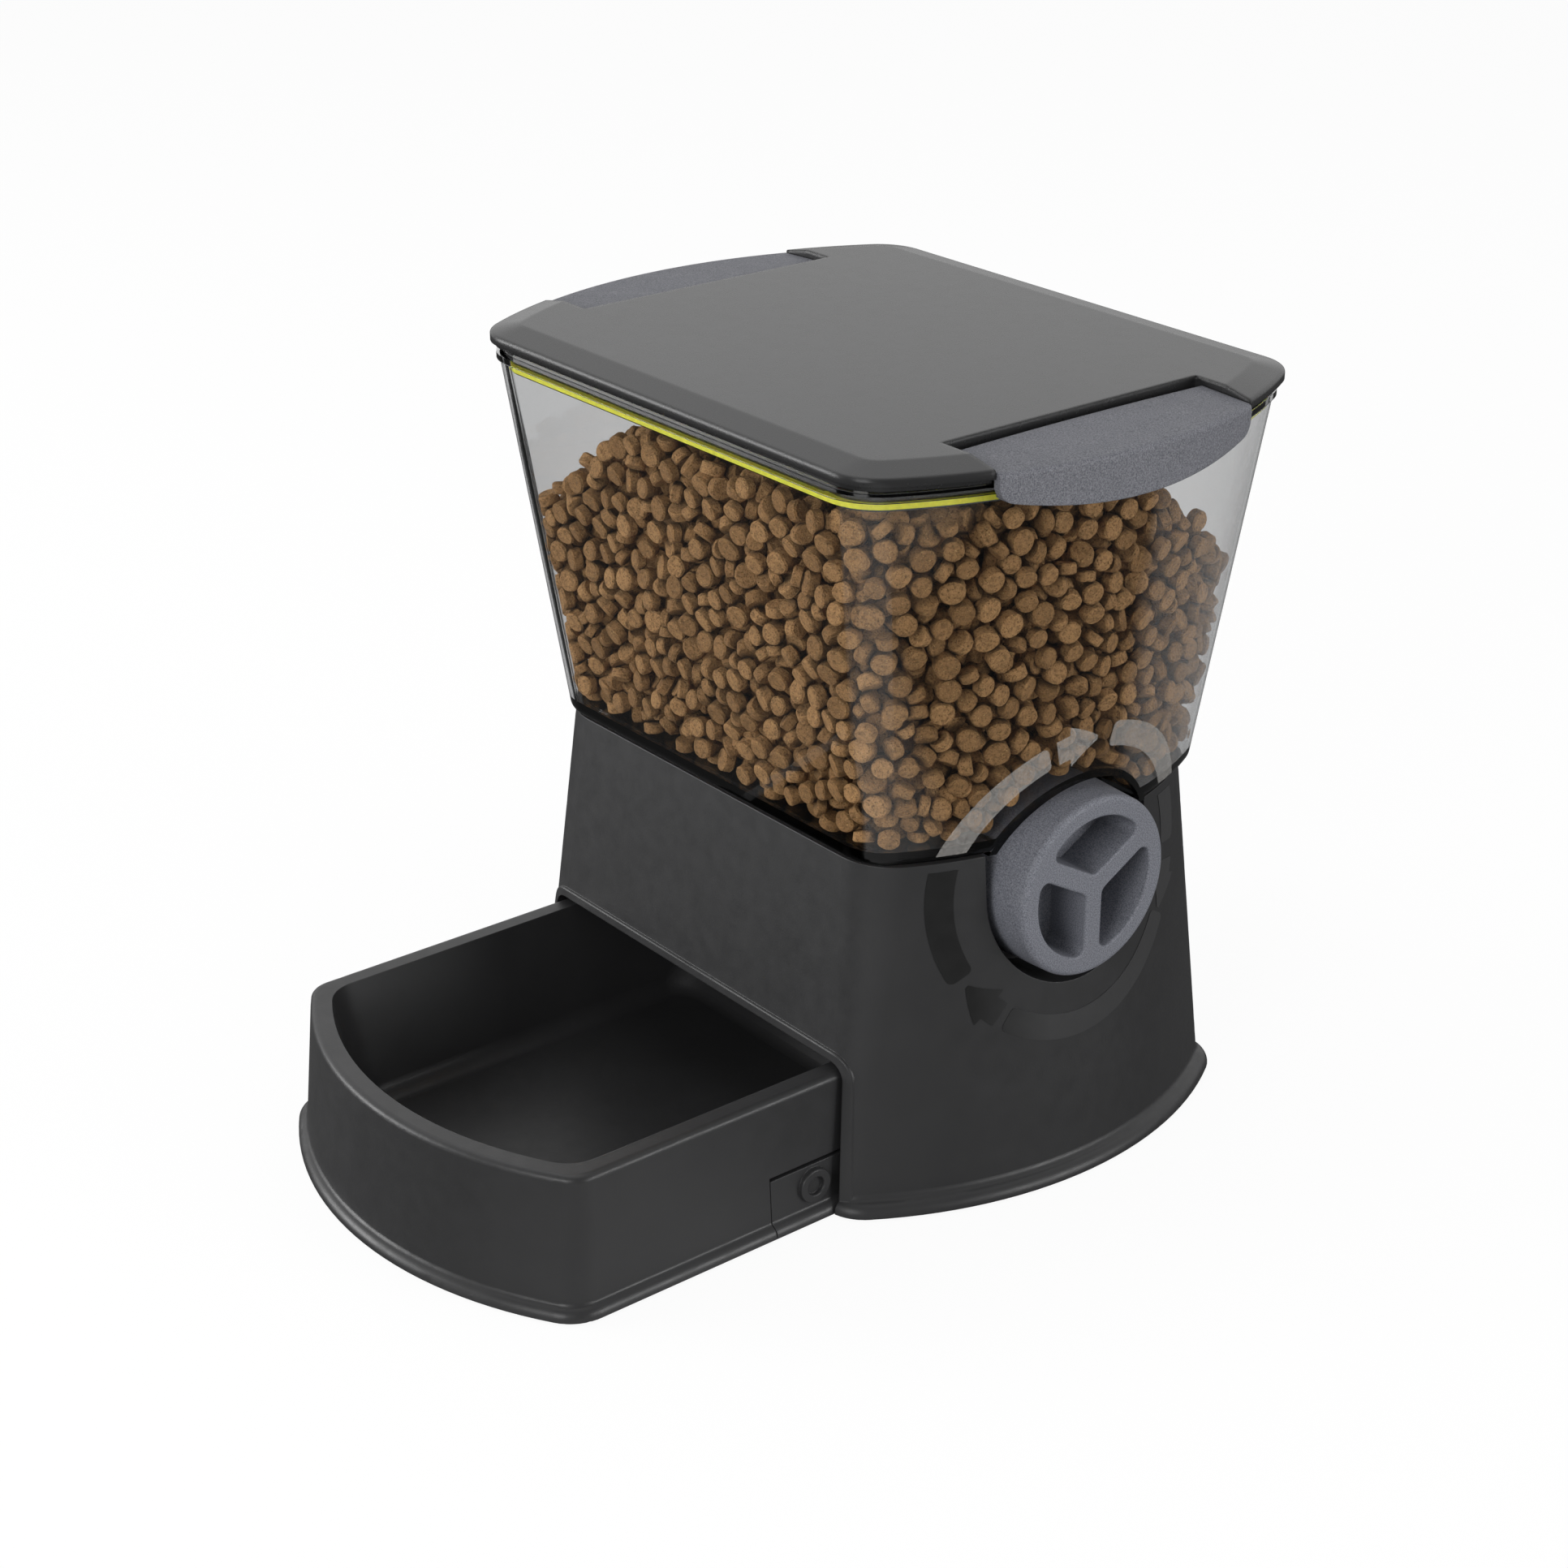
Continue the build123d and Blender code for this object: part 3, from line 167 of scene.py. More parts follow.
class Finish:
    """A procedural material and the node chain that it is built from."""

    def __init__(self, name):
        self.material = bpy.data.materials.new(name)
        self.material.use_nodes = True
        self.tree = self.material.node_tree
        self.shader = self.tree.nodes["Principled BSDF"]
        self.output = self.tree.nodes["Material Output"]
        self.place = self.tree.nodes.new("ShaderNodeTexCoord").outputs["Object"]

    @classmethod
    def on_tree(cls, tree):
        """The same helpers on a node tree that is no material's."""
        made = cls.__new__(cls)
        made.tree = tree
        return made

    def node(self, kind, **settings):
        made = self.tree.nodes.new(kind)
        for name, value in settings.items():
            setattr(made, name, value)
        return made

    def link(self, source, target):
        self.tree.links.new(source, target)

    def set(self, **sockets):
        for name, value in sockets.items():
            self.shader.inputs[name.replace("_", " ")].default_value = value

    def noise(self, scale, detail=2.0, rough=0.5):
        made = self.node("ShaderNodeTexNoise")
        self.link(self.place, made.inputs["Vector"])
        made.inputs["Scale"].default_value = scale
        made.inputs["Detail"].default_value = detail
        made.inputs["Roughness"].default_value = rough
        return made.outputs["Fac"]

    def spread(self, source, low, high, start=0.3, end=0.7):
        """Runs from low to high as the source runs from start to end."""
        made = self.node("ShaderNodeMapRange")
        self.link(source, made.inputs["Value"])
        made.inputs["From Min"].default_value = start
        made.inputs["From Max"].default_value = end
        made.inputs["To Min"].default_value = low
        made.inputs["To Max"].default_value = high
        return made.outputs["Result"]

    def mix(self, share, first, second):
        return self.blend(self.node("ShaderNodeMix", data_type="RGBA"), share, first, second)

    def mix_value(self, share, first, second):
        return self.blend(self.node("ShaderNodeMix", data_type="FLOAT"), share, first, second)

    def blend(self, made, share, first, second):
        for name, value in (("Factor", share), ("A", first), ("B", second)):
            self.feed(made.inputs[name], value)
        return made.outputs["Result"]

    def feed(self, socket, value):
        """Links a socket, or sets its number or colour."""
        if isinstance(value, bpy.types.NodeSocket):
            self.link(value, socket)
        elif isinstance(value, (int, float)):
            socket.default_value = value
        else:
            socket.default_value = (*value, 1)

    def math(self, operation, first, second):
        made = self.node("ShaderNodeMath", operation=operation)
        self.feed(made.inputs[0], first)
        self.feed(made.inputs[1], second)
        return made.outputs["Value"]

    def least(self, first, *others):
        for other in others:
            first = self.math("MINIMUM", first, other)
        return first

    def bump(self, height, depth, normal=None):
        made = self.node("ShaderNodeBump")
        self.link(height, made.inputs["Height"])
        made.inputs["Distance"].default_value = depth
        if normal:
            self.link(normal, made.inputs["Normal"])
        return made.outputs["Normal"]

    def soft_edge(self, radius):
        made = self.node("ShaderNodeBevel", samples=6)
        made.inputs["Radius"].default_value = radius
        return made.outputs["Normal"]


def shade(colour, factor):
    return tuple(min(1.0, c * factor) for c in colour)


def moulded_plastic(name, colour, roughness, grain, grain_depth, edge, blotch=0.08, gloss_spread=0.05):
    """Moulded plastic: faint blotches, a fine spark-eroded grain and soft edges."""
    finish = Finish(name)
    cloud = finish.noise(28, 3)
    finish.link(finish.mix(finish.spread(cloud, 0, 1), shade(colour, 1 - blotch), shade(colour, 1 + blotch)),
                finish.shader.inputs["Base Color"])
    wear = finish.noise(160, 4, 0.6)
    finish.link(finish.spread(wear, roughness - gloss_spread, roughness + gloss_spread),
                finish.shader.inputs["Roughness"])
    skin = finish.noise(grain, 2, 0.6)
    finish.link(finish.bump(skin, grain_depth, finish.soft_edge(edge)), finish.shader.inputs["Normal"])
    return finish


def speckled_plastic(name, colour):
    """Matt plastic with a coarse sandy grain that shows as light and dark specks."""
    finish = moulded_plastic(name, colour, roughness=0.62, grain=1900, grain_depth=0.05 * MM, edge=0.6 * MM,
                             blotch=0.05, gloss_spread=0.06)
    speck = finish.noise(2100, 1.5, 0.7)
    cloud = finish.noise(22, 2)
    base = finish.mix(finish.spread(cloud, 0, 1), shade(colour, 0.93), shade(colour, 1.07))
    dark, light = finish.mix(0.30, base, (0, 0, 0)), finish.mix(0.14, base, (1, 1, 1))
    finish.link(finish.mix(finish.spread(speck, 0, 1, 0.32, 0.68), dark, light),
                finish.shader.inputs["Base Color"])
    return finish


def clear_tub(name, colour, density):
    """Clear hard plastic that takes on grey with depth and has faint smears."""
    finish = Finish(name)
    finish.set(Base_Color=(1, 1, 1, 1), IOR=1.47, Transmission_Weight=1.0, Specular_IOR_Level=0.42)
    smear = finish.noise(34, 3, 0.55)
    finish.link(finish.spread(smear, 0.0, 0.012, 0.35, 0.75), finish.shader.inputs["Roughness"])
    through = finish.node("ShaderNodeBsdfTransparent")
    either = finish.node("ShaderNodeMixShader")
    finish.link(finish.node("ShaderNodeLightPath").outputs["Is Shadow Ray"], either.inputs["Fac"])
    finish.link(finish.shader.outputs["BSDF"], either.inputs[1])
    finish.link(through.outputs["BSDF"], either.inputs[2])
    finish.link(either.outputs["Shader"], finish.output.inputs["Surface"])
    depth = finish.node("ShaderNodeVolumeAbsorption")
    depth.inputs["Color"].default_value = (*colour, 1)
    depth.inputs["Density"].default_value = density
    finish.link(depth.outputs["Volume"], finish.output.inputs["Volume"])
    return finish


def brushed_steel(name, colour):
    """Bright drawn steel with fine marks."""
    finish = Finish(name)
    finish.set(Metallic=1.0)
    draw = finish.noise(900, 4, 0.7)
    finish.link(finish.mix(finish.spread(draw, 0, 1), shade(colour, 0.82), shade(colour, 1.08)),
                finish.shader.inputs["Base Color"])
    finish.link(finish.spread(draw, 0.24, 0.42), finish.shader.inputs["Roughness"])
    finish.link(finish.bump(draw, 0.012 * MM, finish.soft_edge(0.2 * MM)), finish.shader.inputs["Normal"])
    return finish


def soft_rubber(name, colour, roughness, clear=0.0):
    """Soft rubber or silicone with a dull, dusty skin."""
    finish = Finish(name)
    dust = finish.noise(420, 4, 0.6)
    finish.link(finish.mix(finish.spread(dust, 0, 1), shade(colour, 0.86), shade(colour, 1.1)),
                finish.shader.inputs["Base Color"])
    finish.link(finish.spread(dust, roughness - 0.08, roughness + 0.08), finish.shader.inputs["Roughness"])
    finish.link(finish.bump(dust, 0.02 * MM, finish.soft_edge(0.4 * MM)), finish.shader.inputs["Normal"])
    finish.set(Subsurface_Weight=clear, Subsurface_Scale=2 * MM)
    return finish


def baked_crust(name, light, dark):
    """Baked food: each piece has its own tone, with crumbs, pits and pale specks, and painted shade darkens
    it where pieces meet.
    """
    finish = Finish(name)
    tone = finish.node("ShaderNodeAttribute", attribute_name="tone").outputs["Fac"]
    crumb = finish.noise(620, 6, 0.68)
    pit = finish.noise(1500, 3, 0.6)
    speck = finish.noise(2600, 1, 0.5)
    base = finish.mix(tone, dark, light)
    base = finish.mix(finish.spread(crumb, 0.75, 0, 0.30, 0.56), base, shade(dark, 0.42))
    base = finish.mix(finish.spread(pit, 0.75, 0, 0.34, 0.46), base, shade(dark, 0.30))
    base = finish.mix(finish.spread(speck, 0, 0.55, 0.66, 0.76), base, shade(light, 2.1))
    # Painted shade: ambient occlusion darkens the base colour where pieces meet and in the gaps between them.
    painted_crevice_shade = finish.node("ShaderNodeAmbientOcclusion", samples=6, only_local=True)
    painted_crevice_shade.inputs["Distance"].default_value = 4.5 * MM
    base = finish.mix(finish.spread(painted_crevice_shade.outputs["AO"], 0.92, 0, 0.32, 0.87), base, shade(dark, 0.06))
    finish.link(base, finish.shader.inputs["Base Color"])
    finish.link(finish.spread(crumb, 0.62, 0.85), finish.shader.inputs["Roughness"])
    pitted = finish.bump(pit, 0.5 * MM)
    finish.link(finish.bump(crumb, 1.0 * MM, pitted), finish.shader.inputs["Normal"])
    finish.set(Specular_IOR_Level=0.25)
    return finish


def printed_ink_with_painted_sheen(name, dark, pale):
    """Satin print with painted sheen: its colour runs from dark at the front to pale at the rear."""
    finish = Finish(name)
    apart = finish.node("ShaderNodeSeparateXYZ")
    finish.link(finish.place, apart.inputs["Vector"])
    # Painted sheen: the ink is painted paler towards the rear along Y.
    start = knob_low.y - 10 * MM
    painted_sheen_run = 30 * MM
    share = finish.spread(apart.outputs["Y"], 0, 1, start, start + painted_sheen_run)
    finish.link(finish.mix(share, dark, pale), finish.shader.inputs["Base Color"])
    finish.link(finish.spread(finish.noise(160, 4, 0.6), 0.30, 0.40), finish.shader.inputs["Roughness"])
    return finish


def frosted_film(name, colour):
    """Frosted print on the clear tub: pale, half see-through and slightly patchy."""
    finish = Finish(name)
    finish.set(Roughness=0.55)
    patch = finish.noise(900, 5, 0.7)
    finish.link(finish.mix(finish.spread(patch, 0, 1), shade(colour, 0.8), shade(colour, 1.15)),
                finish.shader.inputs["Base Color"])
    finish.link(finish.spread(patch, 0.16, 0.32), finish.shader.inputs["Alpha"])
    return finish


# Modelling helpers

def start_piece(name):
    """Takes the newest primitive as the piece of that name."""
    piece = bpy.context.object
    piece.name = name
    piece.data.name = name
    return piece


def clear_selection():
    bpy.ops.object.select_all(action="DESELECT")


def select(piece):
    """Selects that piece alone and makes it the active one."""
    clear_selection()
    piece.select_set(True)
    bpy.context.view_layer.objects.active = piece


def edit(piece):
    select(piece)
    bpy.ops.object.mode_set(mode="EDIT")


def done():
    bpy.ops.object.mode_set(mode="OBJECT")


def pick(piece, kind, test):
    """Selects the faces, edges or vertices of the piece in edit mode that pass the test."""
    bpy.ops.mesh.select_mode(type={"faces": "FACE", "edges": "EDGE", "verts": "VERT"}[kind])
    bpy.ops.mesh.select_all(action="DESELECT")
    shape = bmesh.from_edit_mesh(piece.data)
    shape.normal_update()
    for part in getattr(shape, kind):
        if test(part):
            part.select_set(True)
    shape.select_flush_mode()
    bmesh.update_edit_mesh(piece.data)


def apply_modifier(piece, kind, **settings):
    modifier = piece.modifiers.new(kind.title(), kind)
    for name, value in settings.items():
        setattr(modifier, name, value)
    select(piece)
    bpy.ops.object.modifier_apply(modifier=modifier.name)


def settle(piece):
    """Puts the piece's place, turn and scale into its mesh."""
    select(piece)
    bpy.ops.object.transform_apply(location=True, rotation=True, scale=True)


def joined(name, pieces):
    """Joins copies, each with its own mesh, into one piece."""
    clear_selection()
    for piece in pieces:
        piece.select_set(True)
    bpy.context.view_layer.objects.active = pieces[0]
    if len(pieces) > 1:
        bpy.ops.object.join()
    pieces[0].name = name
    pieces[0].data.name = name
    settle(pieces[0])
    return pieces[0]


def smooth(piece, degrees=35):
    select(piece)
    bpy.ops.object.shade_smooth_by_angle(angle=math.radians(degrees))


def give(piece, finish, body):
    """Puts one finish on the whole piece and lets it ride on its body."""
    piece.data.materials.clear()
    piece.data.materials.append(finish.material)
    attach(piece, body)


def loose_boxes(node):
    """Lowest and highest corner of each separate solid in a node."""
    shape = bmesh.new()
    shape.from_mesh(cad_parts[node].data)
    bmesh.ops.remove_doubles(shape, verts=shape.verts, dist=0.01 * MM)
    left = set(shape.verts)
    found = []
    while left:
        group, edge = set(), [min(left, key=lambda v: v.index)]
        while edge:
            vert = edge.pop()
            if vert not in group:
                group.add(vert)
                edge.extend(e.other_vert(vert) for e in vert.link_edges)
        left -= group
        points = np.array([v.co for v in group])
        found.append((Vector(points.min(0)), Vector(points.max(0))))
    shape.free()
    return sorted(found, key=lambda corners: tuple(corners[0]))


# Pieces

class DISPENSER_OT_finishes(Operator):
    """Gives every moulded, rubber and steel part its finish"""
    bl_idname = "dispenser.finishes"
    bl_label = "Finish the Casings"

    def execute(self, context):
        look = values().finish
        satin = moulded_plastic("casing_satin", look.casing, roughness=0.42, grain=1500,
                                grain_depth=0.025 * MM, edge=0.5 * MM)
        tray = moulded_plastic("bowl_satin", look.tray, roughness=0.40, grain=1500,
                               grain_depth=0.025 * MM, edge=0.5 * MM)
        cover = moulded_plastic("lid_half_gloss", look.cover, roughness=0.27, grain=2200,
                                grain_depth=0.002 * MM, edge=2 * MM, blotch=0.03, gloss_spread=0.012)
        plug = moulded_plastic("plug_gloss", look.plug, roughness=0.12, grain=900,
                               grain_depth=0.004 * MM, edge=0.4 * MM, blotch=0.05, gloss_spread=0.03)
        plug.set(Specular_IOR_Level=1.0)
        grip = speckled_plastic("grip_matt", look.grip)
        latch = speckled_plastic("latch_matt", look.latch)
        works = moulded_plastic("works_plastic", look.works, roughness=0.45, grain=1300,
                                grain_depth=0.02 * MM, edge=0.3 * MM)
        bush = moulded_plastic("bush_plastic", look.bush, roughness=0.35, grain=800,
                               grain_depth=0.01 * MM, edge=0.2 * MM)
        seal = soft_rubber("seal_yellow", look.seal, roughness=0.42, clear=0.15)
        steel = brushed_steel("steel_bright", look.steel)
        clear = clear_tub("tub_clear", look.clear, density=95)
        dressed = {
            satin: ("tower_shell", "leg_cover_left", "leg_cover_right"),
            tray: ("bowl", "bowl_snap_left", "bowl_snap_right"),
            cover: ("lid_cover",),
            plug: ("lid_plug",),
            grip: ("knob",),
            latch: ("latch_left", "latch_right"),
            works: ("wheel_housing", "portion_wheel", "chute"),
            bush: ("bush_left", "bush_middle", "bush_right", "click_wheel"),
            seal: ("lid_seal",),
            steel: ("wheel_shaft", "shaft_clip", "click_spring", "latch_pins"),
            clear: ("hopper",),
        }
        for finish, nodes in dressed.items():
            for node in nodes:
                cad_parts[node].material_slots[0].material = finish.material
        return {"FINISHED"}


class DISPENSER_OT_screws(Operator):
    """Models one cross-headed screw and puts a copy at each place"""
    bl_idname = "dispenser.screws"
    bl_label = "Make the Screws"

    HEAD = 1.8 * MM
    SHANK_RADIUS = 1.5 * MM
    # Node, body, and whether the head is at the top
    PLACES = (("leg_screws", "base", False), ("lid_screws", "lid", False),
              ("housing_screws", "base", True), ("spring_screw", "base", False))

    def model(self, hardware, reach, shank):
        head, radius = self.HEAD, self.SHANK_RADIUS
        bpy.ops.mesh.primitive_cylinder_add(vertices=24, radius=reach, depth=head, location=(0, 0, head / 2))
        screw = start_piece("screw")
        settle(screw)
        edit(screw)
        pick(screw, "edges", lambda e: all(v.co.z > head * 0.9 for v in e.verts))
        bpy.ops.mesh.bevel(offset=hardware.head_round, segments=3)
        pick(screw, "faces", lambda f: f.normal.z < -0.9)
        bpy.ops.mesh.inset(thickness=reach - radius)
        tip = radius * 0.8
        bpy.ops.mesh.extrude_region_move(TRANSFORM_OT_translate={"value": (0, 0, tip - shank)})
        bpy.ops.mesh.extrude_region_move(TRANSFORM_OT_translate={"value": (0, 0, -tip)})
        bpy.ops.transform.resize(value=(0.3, 0.3, 1))
        done()
        for turn in (0, math.pi / 2):
            bpy.ops.mesh.primitive_cube_add(size=1, location=(0, 0, head))
            bar = start_piece("bar")
            bar.scale = (hardware.recess, hardware.recess_reach, hardware.recess_depth * 2)
            bar.rotation_euler.z = turn
            settle(bar)
            edit(bar)
            pick(bar, "faces", lambda f: f.normal.z < -0.9)
            bpy.ops.transform.resize(value=(0.6, 0.6, 1))
            done()
            apply_modifier(screw, "BOOLEAN", operation="DIFFERENCE", object=bar, solver="EXACT")
            bpy.data.objects.remove(bar)
        smooth(screw, 40)
        return screw

    def execute(self, context):
        hardware = values().hardware
        steel = bpy.data.materials["steel_bright"]
        low, high = loose_boxes("leg_screws")[0]
        model = self.model(hardware, (high.x - low.x) / 2, high.z - low.z - self.HEAD)
        for node, body, head_up in self.PLACES:
            copies = []
            for index, (low, high) in enumerate(loose_boxes(node)):
                screw = model.copy()
                screw.data = model.data.copy()
                bpy.context.collection.objects.link(screw)
                seat = high.z - self.HEAD if head_up else low.z + self.HEAD
                place = Matrix.Translation(((low.x + high.x) / 2, (low.y + high.y) / 2, seat))
                flip = Matrix.Rotation(0 if head_up else math.pi, 4, "X")
                turn = Matrix.Rotation(0.7 * index + 0.3, 4, "Z")
                screw.matrix_world = place @ flip @ turn
                copies.append(screw)
            group = joined(node + "_cross", copies)
            group.data.materials.append(steel)
            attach(group, body)
            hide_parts(node)
        bpy.data.objects.remove(model)
        return {"FINISHED"}


class DISPENSER_OT_feet(Operator):
    """Models the rubber feet and pads, each a ring with a hollow in it"""
    bl_idname = "dispenser.feet"
    bl_label = "Make the Feet"

    def execute(self, context):
        hardware = values().hardware
        rubber = soft_rubber("foot_rubber", values().finish.rubber, 0.72)
        for node, body in (("tower_feet", "base"), ("bowl_pads", "bowl")):
            feet = []
            for low, high in loose_boxes(node):
                bpy.ops.mesh.primitive_cylinder_add(vertices=48, radius=(high.x - low.x) / 2,
                                                    depth=high.z - low.z, location=(low + high) / 2)
                foot = start_piece("foot")
                settle(foot)
                edit(foot)
                pick(foot, "edges", lambda e: all(v.co.z < low.z + 0.1 * MM for v in e.verts))
                bpy.ops.mesh.bevel(offset=hardware.foot_round, segments=3)
                pick(foot, "faces", lambda f: f.normal.z < -0.99)
                bpy.ops.mesh.inset(thickness=hardware.foot_rim)
                bpy.ops.mesh.inset(thickness=hardware.foot_hollow, depth=-hardware.foot_hollow)
                done()
                feet.append(foot)
            group = joined(node + "_hollow", feet)
            smooth(group, 40)
            give(group, rubber, body)
            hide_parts(node)
        return {"FINISHED"}


class DISPENSER_OT_turn_mark(Operator):
    """Lays a plain ring of turn arrows on the tower and on the tub round the knob"""
    bl_idname = "dispenser.turn_mark"
    bl_label = "Make the Turn Mark"

    # Run and narrowing of each step of a rounded end
    ROUNDED = ((0.9 * MM, 0.95), (0.7 * MM, 0.86), (0.4 * MM, 0.76))
    # Start and end of each band, and place of each arrow head, in degrees
    BANDS = ((208.5, 109), (79.5, -6), (327, 234.5))
    HEADS = (225.5, 100, 341.5)
    # Room between the mark and the seam of tower and tub, length of a cell, and start beside the knob
    SEAM_GAP = 3.0 * MM
    CELL = 9 * MM
    ASIDE = 30 * MM

    def strip(self, length, width):
        """A straight flat band along X, in cells small enough to bend."""
        bpy.ops.mesh.primitive_plane_add(size=1)
        strip = start_piece("strip")
        strip.scale = (length, width, 1)
        settle(strip)
        edit(strip)
        bpy.ops.mesh.subdivide(number_cuts=5)
        pick(strip, "edges", lambda e: abs(e.verts[0].co.y - e.verts[1].co.y) < 0.01 * MM)
        bpy.ops.mesh.subdivide(number_cuts=max(1, int(length / self.CELL)))
        return strip

    def end_step(self, run, narrow):
        """Runs the strip on from its picked end and narrows or widens it there."""
        bpy.ops.mesh.extrude_region_move(TRANSFORM_OT_translate={"value": (run, 0, 0)})
        bpy.ops.transform.resize(value=(1, narrow, 1), center_override=(0, 0, 0))

    def band(self, mark, start, end):
        """An arc of the ring with rounded ends, between two angles."""
        reach = (mark.inner + mark.outer) / 2
        length = math.radians(start - end) * reach - 2 * sum(run for run, narrow in self.ROUNDED)
        strip = self.strip(length, mark.outer - mark.inner)
        for side in (-1, 1):
            pick(strip, "edges", lambda e: all(v.co.x * side > length / 2 - 0.01 * MM for v in e.verts))
            for run, narrow in self.ROUNDED:
                self.end_step(side * run, narrow)
        done()
        return self.curl(strip, mark, (start + end) / 2)

    def head(self, mark, angle):
        """An arrow head on a short stub, with its barbs at the angle and its tip clockwise of them."""
        strip = self.strip(mark.stub, mark.outer - mark.inner)
        pick(strip, "edges", lambda e: all(v.co.x < 0.01 * MM - mark.stub / 2 for v in e.verts))
        self.end_step(-0.3 * MM, mark.barbs / (mark.outer - mark.inner))
        width, steps = 1.0, 4
        for step in range(1, steps + 1):
            left = 1 - 0.9 * step / steps
            self.end_step(-mark.point / steps, left / width)
            width = left
        pick(strip, "verts", lambda v: True)
        bpy.ops.transform.translate(value=(mark.stub / 2, 0, 0))
        done()
        return self.curl(strip, mark, angle)

    def curl(self, strip, mark, angle):
        """Bends the strip onto the ring and turns it to its angle."""
        reach = (mark.inner + mark.outer) / 2
        long = [v.co.x for v in strip.data.vertices]
        apply_modifier(strip, "SIMPLE_DEFORM", deform_method="BEND", deform_axis="Z",
                       angle=(max(long) - min(long)) / reach)
        strip.location = (0, -reach, 0)
        settle(strip)
        strip.rotation_euler.z = math.radians(angle + 90)
        settle(strip)
        return strip

    def lay(self, name, pieces):
        """Joins the flat pieces and turns them to face +X beside the knob."""
        group = joined(name, pieces)
        group.matrix_world = Matrix(((0, 0, 1, knob_high.x + self.ASIDE),
                                     (1, 0, 0, (knob_low.y + knob_high.y) / 2),
                                     (0, 1, 0, (knob_low.z + knob_high.z) / 2),
                                     (0, 0, 0, 1)))
        settle(group)
        return group

    def execute(self, context):
        mark = values().mark
        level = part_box("tower_shell")[1].z
        ink = printed_ink_with_painted_sheen("mark_ink", mark.ink, mark.pale)
        frost = frosted_film("mark_frost", mark.frost)
        for name, node, finish, body, slot, sign in (
                ("turn_mark_tower", "tower_shell", ink, "base", "base_plastic", -1),
                ("turn_mark_tub", "hopper", frost, "hopper", "clear_plastic", 1)):
            pieces = [self.band(mark, start, end) for start, end in self.BANDS]
            pieces.extend(self.head(mark, angle) for angle in self.HEADS)
            group = self.lay(name, pieces)
            edit(group)
            bpy.ops.mesh.select_all(action="SELECT")
            cut = level + sign * self.SEAM_GAP
            bpy.ops.mesh.bisect(plane_co=(0, 0, cut), plane_no=(0, 0, sign), clear_inner=True)
            done()
            apply_modifier(group, "SHRINKWRAP", target=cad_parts[node], wrap_method="PROJECT",
                           use_project_x=True, use_negative_direction=True, use_positive_direction=False,
                           offset=mark.thickness * 0.2)
            apply_modifier(group, "SOLIDIFY", thickness=mark.thickness, offset=1.0)
            smooth(group, 40)
            give(group, finish, body)
        return {"FINISHED"}


